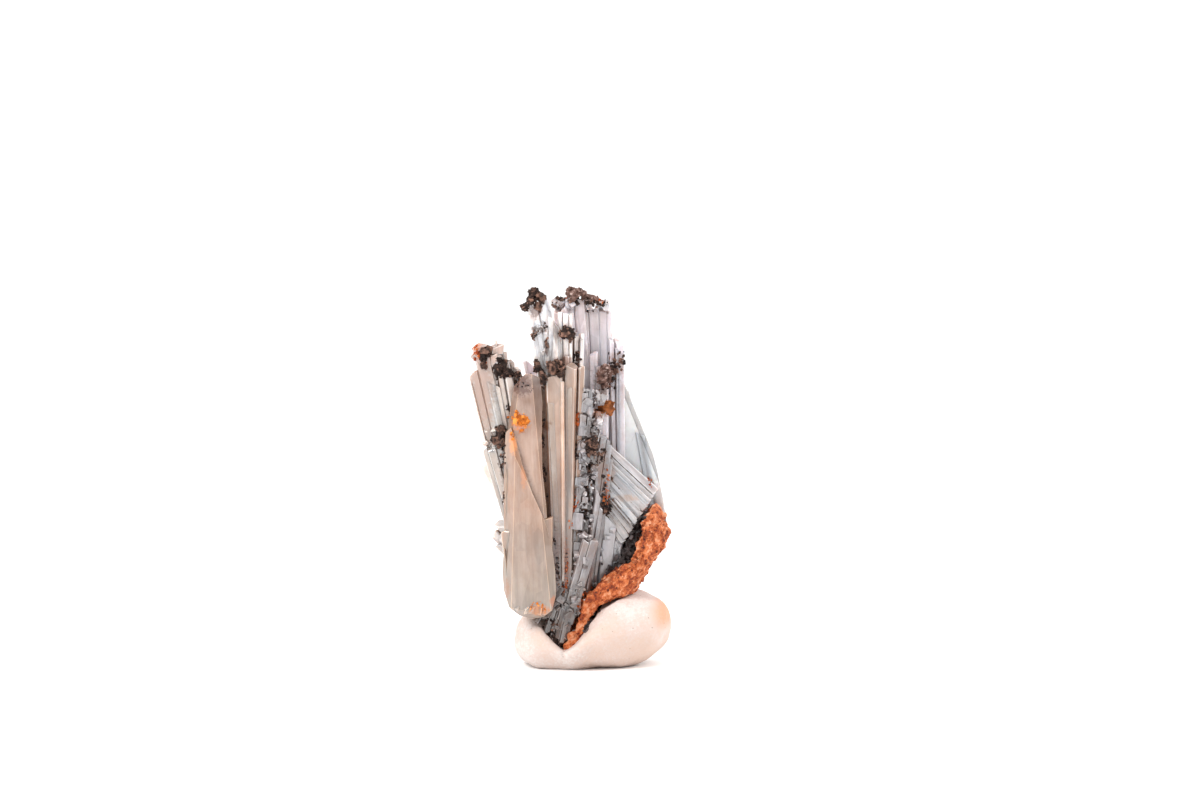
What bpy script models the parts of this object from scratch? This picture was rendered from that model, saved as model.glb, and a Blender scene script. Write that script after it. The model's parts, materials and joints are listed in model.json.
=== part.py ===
"""A spray of bladed barite crystals on an iron-oxide matrix, stood upright in a lump of putty.

Lengths are written in millimetres, and at the end MM turns them into metres. +X is the
specimen's right, -Y its front and +Z up. The origin is the middle of the putty's flat foot.
"""

import random
from functools import partial
from math import cos, pi, radians, sin
from typing import NamedTuple

import bmesh
import bpy
from mathutils import Matrix, Vector, noise

MM = 0.001
GAP = 0.3  # clear space between a piece and the neighbour it is fitted to
LATH_OVERLAP = 1.3  # a lath's width over the distance to the next one, so that they overlap
BEVEL_OF_THICK, BEVEL_OF_WIDTH = 0.42, 0.3  # a lath's bevel is the smaller of these shares
LEFT_ARRIS, RIGHT_ARRIS = -0.12, 0.1  # where a lath's two side edges lie, per thickness
THINNEST, THICKEST = 0.78, 1.05  # how laths of one blade differ in thickness
LATH_SHIFT = 0.12  # how far a lath stands before or behind its blade, per thickness
LEAST_STEP = 0.25  # the smallest step at a blade's tip, as a share of its largest
TIP_RIDGE = 0.2  # half the width of the flat on top of a tip, per thickness
TIP_SLOPE = 1.3  # how steeply a tip falls to its front and back faces
LUMP_SUBDIVISIONS = 2
NOISE_SEED = 41


class Blade(NamedTuple):
    """One tabular crystal, built from parallel laths. Points and sizes are in millimetres."""

    root: tuple
    tip: tuple
    width: float
    thick: float
    facing: float = 0.0  # degrees the broad face is turned from the front, towards the right
    laths: int = 1
    chisel: float = 0.0  # how far the tip's right side stands below its left, per width
    step: float = 1.5  # how far a lath may end below the longest one


# The large honey-coloured crystal in front: a plate whose top is cut on a long slant, on the
# taller plate it has overgrown. Outlines are (x, z), clockwise from the top left.
FRONT_PLATE = (
    (-9.9, 32.2), (-9.2, 32.9), (-8.6, 31.6), (-7.7, 28.1), (-6.3, 24.1), (-5.1, 21.5),
    (-4.4, 19.6), (-3.7, 16.7), (-3.3, 13.6), (-3.2, 10.4), (-3.7, 8.5), (-4.9, 7.5),
    (-6.5, 7.1), (-8.1, 7.6), (-9.5, 8.9), (-10.2, 11.0), (-10.4, 13.8), (-10.1, 17.2),
    (-10.2, 23.0), (-10.1, 28.4),
)
FRONT_PLATE_BACK, FRONT_PLATE_THICK = -4.5, 2.3
FRONT_FACETS = (  # flat facets that bevel the plate: a point and the way it faces
    ((-9.0, -6.8, 15.0), (-0.75, -0.66, 0.02)),
    ((-4.5, -6.8, 15.0), (0.60, -0.80, 0.06)),
    ((-6.5, -6.8, 8.2), (-0.15, -0.62, -0.77)),
    ((-8.3, -6.8, 28.4), (0.46, -0.86, 0.22)),
    ((-9.4, -4.5, 15.0), (-0.60, 0.80, 0.0)),
)
REAR_PLATE = (
    (-9.8, 30.5), (-9.3, 35.2), (-8.7, 38.9), (-7.6, 40.0), (-6.4, 40.3), (-5.3, 39.4),
    (-5.0, 36.2), (-5.1, 31.8), (-5.0, 27.1), (-4.5, 22.3), (-4.2, 17.6), (-5.2, 13.0),
    (-8.1, 12.0), (-9.7, 16.6), (-9.9, 24.0),
)
REAR_PLATE_BACK, REAR_PLATE_THICK = -3.7, 2.0
REAR_FACETS = (
    ((-8.7, -5.7, 34.0), (-0.72, -0.69, 0.10)),
    ((-5.9, -5.7, 34.0), (0.58, -0.81, 0.05)),
    ((-7.0, -5.7, 39.3), (-0.10, -0.60, 0.79)),
    ((-7.0, -3.7, 38.6), (0.0, 0.60, 0.80)),
)
FRONT_SLIVERS = (
    Blade((-4.4, -4.9, 9.6), (-4.5, -5.2, 21.0), 1.8, 1.6, 28, chisel=0.6),
    Blade((-8.8, -5.2, 9.7), (-9.8, -5.4, 19.5), 1.7, 1.5, -24, chisel=-0.8),
    Blade((-6.5, -5.2, 8.3), (-7.2, -5.3, 15.5), 4.2, 1.9, 0, chisel=0.2),
)

# The core: the tall blades in the middle, the glassy and dark laths right of them, the stubby
# crystals that point down at the foot, and the cluster behind.
CORE_BLADES = (
    Blade((-2.6, -0.9, 9.0), (-5.2, -2.3, 50.0), 2.5, 1.9, 8, 3, 0.5, 3.4),
    Blade((-2.0, -1.1, 9.0), (-3.8, -1.9, 47.0), 1.9, 1.5, 24, 2, 1.3, 1.0),
    Blade((-4.9, -2.4, 42.0), (-6.4, -2.9, 49.6), 1.5, 1.3, -8, chisel=0.4),
    Blade((-1.6, -1.0, 9.0), (-1.8, -1.5, 48.1), 1.9, 1.7, -6, 2, 0.1, 0.4),
    Blade((-1.2, -0.6, 9.0), (-0.1, -0.9, 45.2), 1.6, 1.6, 18, 2, 0.1, 1.2),
    Blade((-2.3, -3.0, 8.6), (-3.6, -3.5, 39.7), 2.1, 1.5, 4, 2, 0.0, 1.8),
    Blade((-1.9, -2.4, 8.6), (-0.8, -2.9, 42.0), 2.7, 1.8, -8, 3, 0.0, 1.2),
    Blade((-2.4, -3.4, 12.0), (-2.2, -4.0, 39.0), 0.7, 1.2, 30),
    Blade((-3.0, -2.8, 12.0), (-4.8, -3.2, 38.6), 1.0, 1.3, -22, chisel=0.5),
    Blade((-1.2, -2.0, 8.6), (1.3, -2.5, 38.2), 1.6, 1.7, 20, 2, 0.4, 4.0),
    Blade((-0.6, -1.4, 8.6), (2.4, -1.9, 34.8), 1.8, 1.6, -14, 2, -0.3, 2.2),
    Blade((0.4, -0.9, 8.6), (3.3, -1.4, 32.0), 1.7, 1.6, 30, 2, 0.5, 2.4),
    Blade((1.2, 0.0, 9.0), (4.0, -0.5, 30.2), 1.3, 1.8, 12, chisel=0.8),
    Blade((-1.9, -3.1, 6.2), (1.6, -3.3, 18.2), 2.5, 1.7, 16, 2, 0.5, 1.8),
    Blade((0.4, -1.9, 9.0), (2.8, -2.3, 24.5), 1.6, 1.4, 34, chisel=0.7),
)
FOOT_CRYSTALS = (
    Blade((-2.6, -3.0, 11.0), (-5.4, -3.7, 6.0), 1.5, 1.7, -10, chisel=-0.3),
    Blade((-2.2, -3.0, 11.0), (-4.5, -3.8, 4.2), 1.6, 1.7, 14, chisel=0.2),
    Blade((-1.7, -2.7, 11.0), (-3.6, -3.6, 2.9), 1.6, 1.9, -16, chisel=0.3),
    Blade((-1.0, -2.4, 11.0), (-2.7, -3.4, 2.8), 1.5, 2.0, 22, chisel=-0.3),
    Blade((-0.4, -2.6, 11.0), (-0.7, -2.9, 6.6), 1.6, 1.5, 6, chisel=0.4),
    Blade((-1.8, -0.6, 11.0), (-4.4, -0.4, 6.0), 2.0, 2.2, 70, chisel=0.2),
    Blade((-1.2, 0.8, 12.0), (-3.0, 1.4, 5.0), 2.2, 2.2, 96, chisel=0.2),
    Blade((-1.4, 2.4, 14.0), (-3.8, 3.4, 8.2), 2.2, 2.0, 130, chisel=0.3),
)
GREY_MASS = (
    Blade((2.6, 0.6, 9.6), (3.4, 0.2, 20.6), 3.6, 2.2, 6, 2, 0.5, 1.4),
    Blade((4.3, 1.4, 11.0), (4.7, 0.8, 18.2), 3.0, 2.0, -14, 2, 0.7, 1.0),
    Blade((0.4, 0.8, 8.4), (1.4, 0.2, 21.5), 2.6, 2.6, 24),
)
REAR_BLADES = (
    Blade((1.6, 2.2, 11.0), (-2.7, 2.1, 48.9), 1.9, 1.8, -12, 2, -0.2, 1.4),
    Blade((2.4, 2.8, 11.0), (-0.7, 3.3, 50.2), 2.8, 2.0, 6, 3, 0.1, 0.9),
    Blade((3.2, 3.1, 11.4), (1.5, 3.8, 49.0), 2.6, 2.0, -4, 2, -0.1, 0.6),
    Blade((3.9, 3.1, 11.8), (3.2, 4.1, 48.9), 2.2, 2.0, 14, 2, 0.1, 0.8),
    Blade((5.2, 3.0, 12.6), (4.8, 3.9, 44.8), 1.9, 2.2, 20, 2, 0.2, 1.6),
    Blade((2.6, 1.2, 11.0), (2.5, 1.4, 42.6), 2.9, 1.7, 4, 3, 0.0, 2.6),
    Blade((0.2, 2.4, 11.0), (-6.9, 2.4, 41.4), 1.7, 1.7, -30, chisel=-0.5),
    Blade((-0.2, 3.2, 11.0), (-4.9, 4.6, 37.0), 2.2, 1.8, 200, chisel=0.3),
    Blade((1.2, 4.0, 11.6), (-1.8, 5.7, 42.4), 2.5, 1.8, 188, chisel=-0.5),
    Blade((2.8, 4.4, 12.0), (1.4, 6.2, 45.4), 2.6, 1.6, 174, 2, 0.3, 1.4),
    Blade((4.4, 4.5, 12.6), (4.0, 6.4, 39.4), 2.2, 1.7, 164, chisel=0.5),
    Blade((5.6, 4.6, 13.6), (6.4, 6.6, 32.6), 2.4, 1.6, 156, chisel=0.4),
    Blade((0.4, 4.4, 11.4), (-4.4, 7.0, 29.0), 2.2, 1.6, 206, chisel=-0.5),
    Blade((2.4, 5.2, 12.0), (0.6, 8.0, 33.0), 3.0, 1.5, 184, 2, 0.5, 2.6),
)

# The spray of thin blades that fans out to the left, behind the front plate.
LEFT_BLADES = (
    Blade((-7.6, -2.6, 16.0), (-14.0, -2.9, 44.4), 1.9, 1.5, -10, 2, -0.2, 1.0),
    Blade((-8.4, -2.4, 16.0), (-14.2, -2.6, 40.3), 1.5, 1.4, -24, chisel=-0.5),
    Blade((-7.4, -2.2, 16.0), (-12.7, -2.2, 42.2), 1.3, 1.5, 16, chisel=0.6),
    Blade((-7.0, -2.0, 16.0), (-11.7, -1.9, 43.8), 1.3, 1.4, -12, chisel=0.2),
    Blade((-6.8, -2.2, 16.0), (-10.6, -2.1, 43.7), 1.5, 1.3, 10, 2, -0.2, 0.8),
    Blade((-6.6, -1.8, 16.0), (-9.7, -1.7, 41.9), 1.2, 1.3, 26, chisel=0.8),
    Blade((-6.4, -1.6, 16.0), (-8.9, -1.3, 40.7), 1.3, 1.3, -16, chisel=0.5),
    Blade((-7.9, -2.7, 15.0), (-12.2, -3.0, 30.4), 2.0, 1.6, -14, 2, -0.4, 1.0),
    Blade((-8.2, -2.0, 16.0), (-13.1, -1.9, 35.9), 1.6, 1.5, -34, chisel=-0.4),
    Blade((-7.2, -0.8, 16.0), (-12.0, 0.2, 38.4), 1.9, 1.3, 160, 2, 0.5, 1.2),
    Blade((-6.8, -0.4, 16.0), (-10.2, 0.9, 36.8), 1.8, 1.3, 186, 2, -0.4, 1.4),
)
LEFT_ROOT = Blade((-6.9, -1.5, 10.0), (-7.8, -1.8, 21.0), 3.4, 2.6, 8)

# The broad clear plate on the right, an outline like the front ones.
RIGHT_PLATE = (
    (3.7, 33.0), (4.3, 38.4), (5.7, 40.0), (6.8, 37.3), (8.1, 33.9), (9.5, 30.2),
    (10.5, 26.2), (11.3, 22.3), (11.9, 18.6), (11.7, 17.0), (10.2, 16.9), (8.1, 20.2),
    (5.7, 24.4), (4.0, 28.4),
)
RIGHT_PLATE_BACK, RIGHT_PLATE_THICK = 4.6, 1.5
RIGHT_FACETS = (
    ((8.2, 3.1, 31.0), (0.55, -0.80, 0.22)),
    ((5.0, 3.1, 37.6), (-0.30, -0.75, 0.59)),
    ((9.4, 4.6, 27.0), (0.60, 0.76, 0.25)),
)
RIGHT_RIBS = (
    Blade((10.2, 4.2, 16.4), (5.5, 4.4, 37.6), 2.2, 1.4, 172, 2, -0.4, 2.0),
    Blade((10.6, 3.4, 16.4), (8.6, 3.2, 28.6), 2.0, 1.2, 20, chisel=0.8),
)

# The striated fan: laths side by side from the matrix's upper edge up to the core, and the
# line along which they start.
FAN_LATHS = 11
FAN_START_TOP, FAN_START_FOOT = Vector((10.2, 0.9, 23.6)), Vector((5.7, 0.3, 16.4))
FAN_END_TOP, FAN_END_FOOT = Vector((4.1, 0.4, 29.6)), Vector((4.0, 0.6, 19.8))
FAN_WIDTH, FAN_THICK = 1.0, 1.7
FAN_UNEVENNESS = 0.25  # how far a lath stands out of the row
FAN_SHORTEST, FAN_LONGEST = -0.9, 0.5  # how far a lath ends before or beyond its line
FAN_TWIST = 12  # degrees by which a lath may be turned about its length
FAN_SEED = 5

# Two pale blades that stand behind on the left.
REAR_LEFT_BLADES = (
    Blade((-5.6, 1.0, 13.0), (-12.8, 2.9, 27.6), 2.0, 1.5, -20, 2, -0.4, 0.8),
    Blade((-5.2, 1.6, 12.0), (-11.6, 2.4, 19.0), 2.6, 2.0, -36, 2, 0.2, 0.8),
    Blade((-5.0, 0.8, 11.0), (-11.4, 0.6, 17.4), 2.0, 1.8, -14, chisel=0.4),
    Blade((-4.6, 2.4, 12.0), (-9.4, 4.6, 24.6), 2.6, 1.5, 214, 2, 0.4, 1.4),
    Blade((-4.2, 2.6, 11.6), (-7.4, 5.6, 17.8), 2.4, 1.6, 200, chisel=-0.4),
)

# The matrix: its outline seen from the front, as (x, z) clockwise from the foot, and for each
# slice from front to back (y, size, shift in x, shift in z).
MATRIX_OUTLINE = (
    (-2.6, 2.5), (-1.7, 4.6), (-0.5, 5.5), (1.1, 7.9), (1.4, 9.8), (2.9, 11.4), (5.2, 13.6),
    (6.2, 12.9), (7.4, 13.9), (8.0, 16.4), (9.0, 19.8), (10.2, 21.6), (10.9, 19.6),
    (11.9, 17.8), (10.4, 15.5), (9.1, 13.2), (7.3, 10.6), (5.0, 9.2), (3.6, 9.0), (2.6, 7.6),
    (0.9, 5.0), (-1.1, 2.6),
)
MATRIX_SLICES = (
    (-3.9, 0.56, 0.3, 0.5), (-3.2, 0.84, 0.0, 0.1), (-1.2, 0.98, 0.0, 0.0),
    (1.4, 1.0, 0.0, 0.0), (3.8, 0.98, 0.2, 0.3), (5.8, 0.86, 1.2, 1.2), (7.2, 0.6, 3.2, 4.0),
)
MATRIX_FOOT = (-2.6, 2.5)  # the point that stays where it is when a slice is made smaller
MATRIX_ROUGHNESS, MATRIX_GRAIN = 0.55, 1.7

POCKET = "goethite_pocket"


class Crust(NamedTuple):
    """One lump of crust: the points it has grown round, each with its reach along X, Y and Z."""

    name: str
    lobes: tuple
    colour: str = "umber"


CRUSTS = (
    Crust("crust_centre_tip", (
        ((-6.2, -3.0, 50.2), (0.9, 1.0, 1.7)),
        ((-6.9, -3.1, 49.0), (0.9, 0.9, 1.0)),
    )),
    Crust("crust_blade_knob", (((-1.5, -3.0, 45.2), (1.1, 0.8, 1.0)),)),
    Crust("crust_blade_cluster", (
        ((-3.2, -4.4, 41.2), (0.9, 0.9, 1.1)),
        ((-2.5, -4.5, 40.6), (0.7, 0.8, 1.3)),
    )),
    Crust("crust_centre_seam", (
        ((-5.5, -4.1, 41.1), (0.65, 0.7, 0.9)),
        ((-5.0, -4.3, 40.3), (0.45, 0.6, 0.7)),
        ((-4.7, -4.5, 39.2), (0.4, 0.5, 1.1)),
    )),
    Crust("crust_left_tips", (
        ((-10.8, -3.4, 40.7), (1.2, 0.9, 1.8)),
        ((-9.4, -3.2, 39.9), (1.5, 0.7, 0.6)),
    )),
    Crust("crust_left_edge", (
        ((-12.7, -3.6, 42.9), (0.7, 0.8, 1.1)),
        ((-12.9, -3.5, 41.5), (0.45, 0.7, 1.1)),
    )),
    Crust("crust_left_middle", (((-10.6, -4.1, 31.4), (1.1, 0.9, 1.8)),)),
    Crust("crust_rear_top", (
        ((-0.6, 3.0, 50.2), (1.9, 1.5, 1.0)),
        ((1.4, 3.6, 49.4), (1.4, 1.4, 0.7)),
    )),
    Crust("crust_rear_middle", (((3.3, 0.0, 39.3), (1.4, 0.9, 1.9)),)),
    Crust("crust_core_crevice", (((1.5, -3.4, 30.2), (0.9, 0.8, 1.6)),)),
    Crust("crust_ochre_knob", (((3.4, -1.8, 35.2), (1.1, 0.9, 1.1)),), "ochre"),
    Crust(POCKET, (((7.2, 0.6, 16.6), (1.9, 1.6, 3.3)),)),
)
CRUST_ROUGHNESS, CRUST_GRAIN = 0.3, 0.8

# The putty: half its length, depth and height, where its middle is, and the notch that the
# specimen's foot has pressed into it, a V seen from the front that runs out towards the back.
PUTTY_REACH = Vector((10.2, 7.6, 5.4))
PUTTY_MIDDLE = Vector((1.6, 0.6, 4.7))
PUTTY_SLOPE = 0.2  # how much higher the right end stands than the left, per half length
NOTCH_LEFT, NOTCH_RIGHT = -3.0, -1.2  # the ends of the notch's level floor
NOTCH_FLOOR = 2.2
NOTCH_RISE_LEFT, NOTCH_RISE_RIGHT = 1.7, 1.25
NOTCH_BACK, NOTCH_RISE_BACK = -1.5, 0.75  # from where the notch gets shallower, and how fast
PUTTY_BLUNTNESS = 0.62  # below 1 the ends are blunter than an ellipsoid's
PUTTY_STATIONS, PUTTY_SIDES = 16, 18
PUTTY_END_MARGIN = 0.35  # how far the first and last section stand from the tips, in sections
PUTTY_DENTS, PUTTY_GRAIN = 0.7, 4.0
WELD = 0.002  # points closer than this become one

COLOURS = {  # sRGB red, green, blue, then roughness
    "honey": ((0.83, 0.70, 0.60), 0.3),
    "clear": ((0.88, 0.87, 0.87), 0.2),
    "grey": ((0.71, 0.68, 0.68), 0.25),
    "fan": ((0.70, 0.70, 0.71), 0.3),
    "limonite": ((0.73, 0.40, 0.22), 0.9),
    "umber": ((0.28, 0.20, 0.17), 0.8),
    "ochre": ((0.62, 0.36, 0.17), 0.85),
    "putty": ((0.93, 0.85, 0.78), 0.75),
}


def clear_scene():
    for obj in list(bpy.data.objects):
        bpy.data.objects.remove(obj, do_unlink=True)


def linear(channel):
    """A colour channel from sRGB to the linear value that Blender's shaders take."""
    return channel / 12.92 if channel <= 0.04045 else ((channel + 0.055) / 1.055) ** 2.4


def material_of(colour):
    if colour in bpy.data.materials:
        return bpy.data.materials[colour]
    rgb, roughness = COLOURS[colour]
    material = bpy.data.materials.new(colour)
    material.use_nodes = True
    shader = material.node_tree.nodes["Principled BSDF"]
    shader.inputs["Base Color"].default_value = (*map(linear, rgb), 1.0)
    shader.inputs["Roughness"].default_value = roughness
    shader.inputs["Metallic"].default_value = 0.0
    return material


def object_of(name, shape, colour):
    """Moves a shape into a new object, still in millimetres."""
    mesh = bpy.data.meshes.new(name)
    shape.to_mesh(mesh)
    shape.free()
    mesh.materials.append(material_of(colour))
    obj = bpy.data.objects.new(name, mesh)
    bpy.context.scene.collection.objects.link(obj)
    return obj


# ---------------------------------------------------------------- shapes, in millimetres


def loft(rings):
    """A closed shape through flat rings that have the same number of points."""
    shape = bmesh.new()
    end = shape.faces.new([shape.verts.new(point) for point in rings[0]])
    for index, ring in enumerate(rings[1:]):
        made = bmesh.ops.extrude_face_region(shape, geom=[end])["geom"]
        if index:
            bmesh.ops.delete(shape, geom=[end], context="FACES_ONLY")
        end = next(item for item in made if isinstance(item, bmesh.types.BMFace))
        for vertex, point in zip(end.verts, ring):
            vertex.co = point
    bmesh.ops.recalc_face_normals(shape, faces=shape.faces)
    return shape


def clip(shape, planes, grow=0.0):
    """Cuts off what lies beyond each plane, given by a point on it and the way it faces."""
    for point, outward in planes:
        outward = Vector(outward).normalized()
        everything = shape.verts[:] + shape.edges[:] + shape.faces[:]
        cut = bmesh.ops.bisect_plane(
            shape, geom=everything, plane_co=Vector(point) + outward * grow, plane_no=outward,
            clear_outer=True,
        )
        edges = [item for item in cut["geom_cut"] if isinstance(item, bmesh.types.BMEdge)]
        bmesh.ops.holes_fill(shape, edges=edges)
    bmesh.ops.recalc_face_normals(shape, faces=shape.faces)


def widened(outline, by):
    """A clockwise outline with every side moved outwards by the same distance."""
    corners = [Vector(point) for point in outline]
    moved = []
    for index, corner in enumerate(corners):
        before = (corner - corners[index - 1]).normalized()
        after = (corners[(index + 1) % len(corners)] - corner).normalized()
        miter = Vector((-before.y - after.y, before.x + after.x))
        moved.append(corner + miter * by / max(0.5, 1.0 + before.dot(after)))
    return moved


def inflate(shape, by):
    """Moves a rough shape's surface outwards by about the same distance."""
    shape.normal_update()
    moves = [(vertex, vertex.normal * vertex.calc_shell_factor() * by) for vertex in shape.verts]
    for vertex, move in moves:
        vertex.co += move


def roughen(shape, height, grain, seed):
    """Moves each vertex along its normal by smooth noise, so that a lump looks broken."""
    shape.normal_update()
    offset = Vector((seed, 2.0 * seed, 3.0 * seed))
    moves = [(v, v.normal * height * noise.noise(v.co / grain + offset)) for v in shape.verts]
    for vertex, move in moves:
        vertex.co += move


def lath(blade, across, through, width, thick, shorter, grow):
    """A flat six-sided prism with a chisel end.

    It lies `across` the blade and `through` it by the given distances, and ends `shorter`
    than the blade's tip. Its faces lie `grow` further out than its true ones.
    """
    root, tip = Vector(blade.root), Vector(blade.tip)
    along = (tip - root).normalized()
    turn = radians(blade.facing)
    front = Vector((sin(turn), -cos(turn), 0.0))
    front = (front - along * front.dot(along)).normalized()
    side = along.cross(front)
    place = Matrix((side, -front, along)).transposed().to_4x4()
    place.translation = root + side * across - front * through

    length = (tip - root).length - shorter
    bevel = min(BEVEL_OF_THICK * thick, BEVEL_OF_WIDTH * width)
    section = widened((
        (-width / 2, LEFT_ARRIS * thick), (-width / 2 + bevel, thick / 2),
        (width / 2 - bevel, thick / 2), (width / 2, RIGHT_ARRIS * thick),
        (width / 2 - bevel, -thick / 2), (-width / 2 + bevel, -thick / 2),
    ), grow)
    shape = loft([[Vector((x, y, z)) for x, y in section] for z in (-grow, length + width + grow)])
    peak = Vector((-width / 2, 0.0, length))
    ridge = Vector((0.0, TIP_RIDGE * thick, 0.0))
    clip(shape, (
        (peak, (blade.chisel, 0.0, 1.0)),
        (peak + ridge, (blade.chisel, TIP_SLOPE, 1.0)),
        (peak - ridge, (blade.chisel, -TIP_SLOPE, 1.0)),
    ), grow)
    shape.transform(place)
    return shape


def laths_of(blades, grow):
    """The parallel laths of some blades, ending in steps, the same at every call."""
    made = []
    for blade in blades:
        steps = random.Random(f"{blade.root}{blade.tip}")
        pitch = blade.width / blade.laths
        longest = steps.randrange(blade.laths)
        for index in range(blade.laths):
            across = (index - (blade.laths - 1) / 2) * pitch
            width = pitch * (LATH_OVERLAP if blade.laths > 1 else 1.0)
            thick = blade.thick * steps.uniform(THINNEST, THICKEST)
            through = blade.thick * steps.uniform(-LATH_SHIFT, LATH_SHIFT)
            shorter = 0.0 if index == longest else steps.uniform(LEAST_STEP, 1.0) * blade.step
            made.append(lath(blade, across, through, width, thick, shorter, grow))
    return made


def plate(outline, back, thick, facets, grow):
    """A tabular crystal: an outline in X and Z given a thickness, then bevelled by facets."""
    rings = [
        [Vector((x, y, z)) for x, z in widened(outline, grow)]
        for y in (back + grow, back - thick - grow)
    ]
    shape = loft(rings)
    clip(shape, facets, grow)
    return shape


def lump(middle, reach, seed, grow):
    """One rough lobe of crust, an ellipsoid with a broken surface."""
    shape = bmesh.new()
    bmesh.ops.create_icosphere(shape, subdivisions=LUMP_SUBDIVISIONS, radius=1.0)
    shape.transform(Matrix.Translation(middle) @ Matrix.Diagonal((*reach, 1.0)))
    roughen(shape, CRUST_ROUGHNESS, CRUST_GRAIN, seed)
    inflate(shape, grow)
    return shape


# ---------------------------------------------------------------- the pieces' parts


def front_parts(grow=0.0):
    return [
        plate(FRONT_PLATE, FRONT_PLATE_BACK, FRONT_PLATE_THICK, FRONT_FACETS, grow),
        plate(REAR_PLATE, REAR_PLATE_BACK, REAR_PLATE_THICK, REAR_FACETS, grow),
        *laths_of(FRONT_SLIVERS, grow),
    ]


def core_parts(grow=0.0):
    return laths_of(CORE_BLADES + FOOT_CRYSTALS + GREY_MASS + REAR_BLADES, grow)


def left_parts(grow=0.0):
    return laths_of((*LEFT_BLADES, LEFT_ROOT), grow)


def right_parts(grow=0.0):
    return [
        plate(RIGHT_PLATE, RIGHT_PLATE_BACK, RIGHT_PLATE_THICK, RIGHT_FACETS, grow),
        *laths_of(RIGHT_RIBS, grow),
    ]


def fan_parts(grow=0.0):
    """Laths side by side between the line they start from and the line they end on."""
    steps = random.Random(FAN_SEED)
    blades = []
    for index in range(FAN_LATHS):
        share = index / (FAN_LATHS - 1)
        start = FAN_START_TOP.lerp(FAN_START_FOOT, share)
        end = FAN_END_TOP.lerp(FAN_END_FOOT, share)
        start.y += steps.uniform(-FAN_UNEVENNESS, FAN_UNEVENNESS)
        end += (end - start).normalized() * steps.uniform(FAN_SHORTEST, FAN_LONGEST)
        twist = steps.uniform(-FAN_TWIST, FAN_TWIST)
        blades.append(Blade(tuple(start), tuple(end), FAN_WIDTH, FAN_THICK, twist))
    return laths_of(blades, grow)


def rear_left_parts(grow=0.0):
    return laths_of(REAR_LEFT_BLADES, grow)


def matrix_parts(grow=0.0):
    foot_x, foot_z = MATRIX_FOOT
    rings = []
    for y, size, shift_x, shift_z in MATRIX_SLICES:
        move_x = foot_x * (1 - size) + shift_x
        move_z = foot_z * (1 - size) + shift_z
        rings.append([Vector((x * size + move_x, y, z * size + move_z)) for x, z in MATRIX_OUTLINE])
    shape = loft(rings)
    roughen(shape, MATRIX_ROUGHNESS, MATRIX_GRAIN, NOISE_SEED)
    inflate(shape, grow)
    return [shape]


def crust_parts(crust, grow=0.0):
    return [
        lump(middle, reach, NOISE_SEED + index, grow)
        for index, (middle, reach) in enumerate(crust.lobes)
    ]


def notch_height(x, y):
    """How high the putty may stand at a place, because of the notch for the specimen's foot."""
    left, right = NOTCH_RISE_LEFT * (NOTCH_LEFT - x), NOTCH_RISE_RIGHT * (x - NOTCH_RIGHT)
    return NOTCH_FLOOR + max(0.0, left, right) + NOTCH_RISE_BACK * max(0.0, y - NOTCH_BACK)


def putty_parts():
    """A pressed lump: sections along X, with a notch from the front and a flat foot."""
    rings = []
    for station in range(PUTTY_STATIONS + 1):
        angle = pi * (station + PUTTY_END_MARGIN) / (PUTTY_STATIONS + 2 * PUTTY_END_MARGIN)
        share = -cos(angle)
        size = sin(angle) ** PUTTY_BLUNTNESS
        x = PUTTY_MIDDLE.x + share * PUTTY_REACH.x
        ring = []
        for step in range(PUTTY_SIDES):
            turn = 2 * pi * step / PUTTY_SIDES
            y = PUTTY_MIDDLE.y + PUTTY_REACH.y * size * cos(turn)
            z = PUTTY_MIDDLE.z + PUTTY_REACH.z * (size * sin(turn) + PUTTY_SLOPE * share)
            ring.append(Vector((x, y, min(z, notch_height(x, y)))))
        rings.append(ring)
    shape = loft(rings)
    roughen(shape, PUTTY_DENTS, PUTTY_GRAIN, NOISE_SEED)
    clip(shape, [((0.0, 0.0, 0.0), (0.0, 0.0, -1.0))])
    return [shape]


# ---------------------------------------------------------------- joining and fitting


def combine(target, shapes, operation):
    """Joins shapes to an object, or cuts them from it, and keeps the largest body."""
    helpers = bpy.data.collections.new("helpers")
    bpy.context.scene.collection.children.link(helpers)
    for shape in shapes:
        helper = object_of("helper", shape, "putty")
        bpy.context.scene.collection.objects.unlink(helper)
        helpers.objects.link(helper)
    boolean = target.modifiers.new(operation, "BOOLEAN")
    boolean.operation = operation
    boolean.operand_type = "COLLECTION"
    boolean.collection = helpers
    boolean.solver = "EXACT"
    boolean.material_mode = "INDEX"
    evaluated = target.evaluated_get(bpy.context.evaluated_depsgraph_get())
    joined = bpy.data.meshes.new_from_object(evaluated)
    target.modifiers.clear()
    material = target.data.materials[0]
    target.data = joined
    joined.name = target.name
    joined.materials.clear()
    joined.materials.append(material)
    joined.polygons.foreach_set("material_index", [0] * len(joined.polygons))
    for helper in list(helpers.objects):
        bpy.data.objects.remove(helper, do_unlink=True)
    bpy.data.collections.remove(helpers)
    keep_largest_body(target)


def keep_largest_body(obj):
    """Welds points that lie closer than WELD, and drops the crumbs that a cut leaves."""
    shape = bmesh.new()
    shape.from_mesh(obj.data)
    bmesh.ops.remove_doubles(shape, verts=shape.verts, dist=WELD)
    left = set(shape.verts)
    bodies = []
    while left:
        body = {left.pop()}
        edge_of_body = list(body)
        while edge_of_body:
            vertex = edge_of_body.pop()
            found = {edge.other_vert(vertex) for edge in vertex.link_edges} & left
            left -= found
            body |= found
            edge_of_body.extend(found)
        bodies.append(body)
    bodies.sort(key=len)
    crumbs = [vertex for body in bodies[:-1] for vertex in body]
    bmesh.ops.delete(shape, geom=crumbs, context="VERTS")
    shape.to_mesh(obj.data)
    shape.free()


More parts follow.
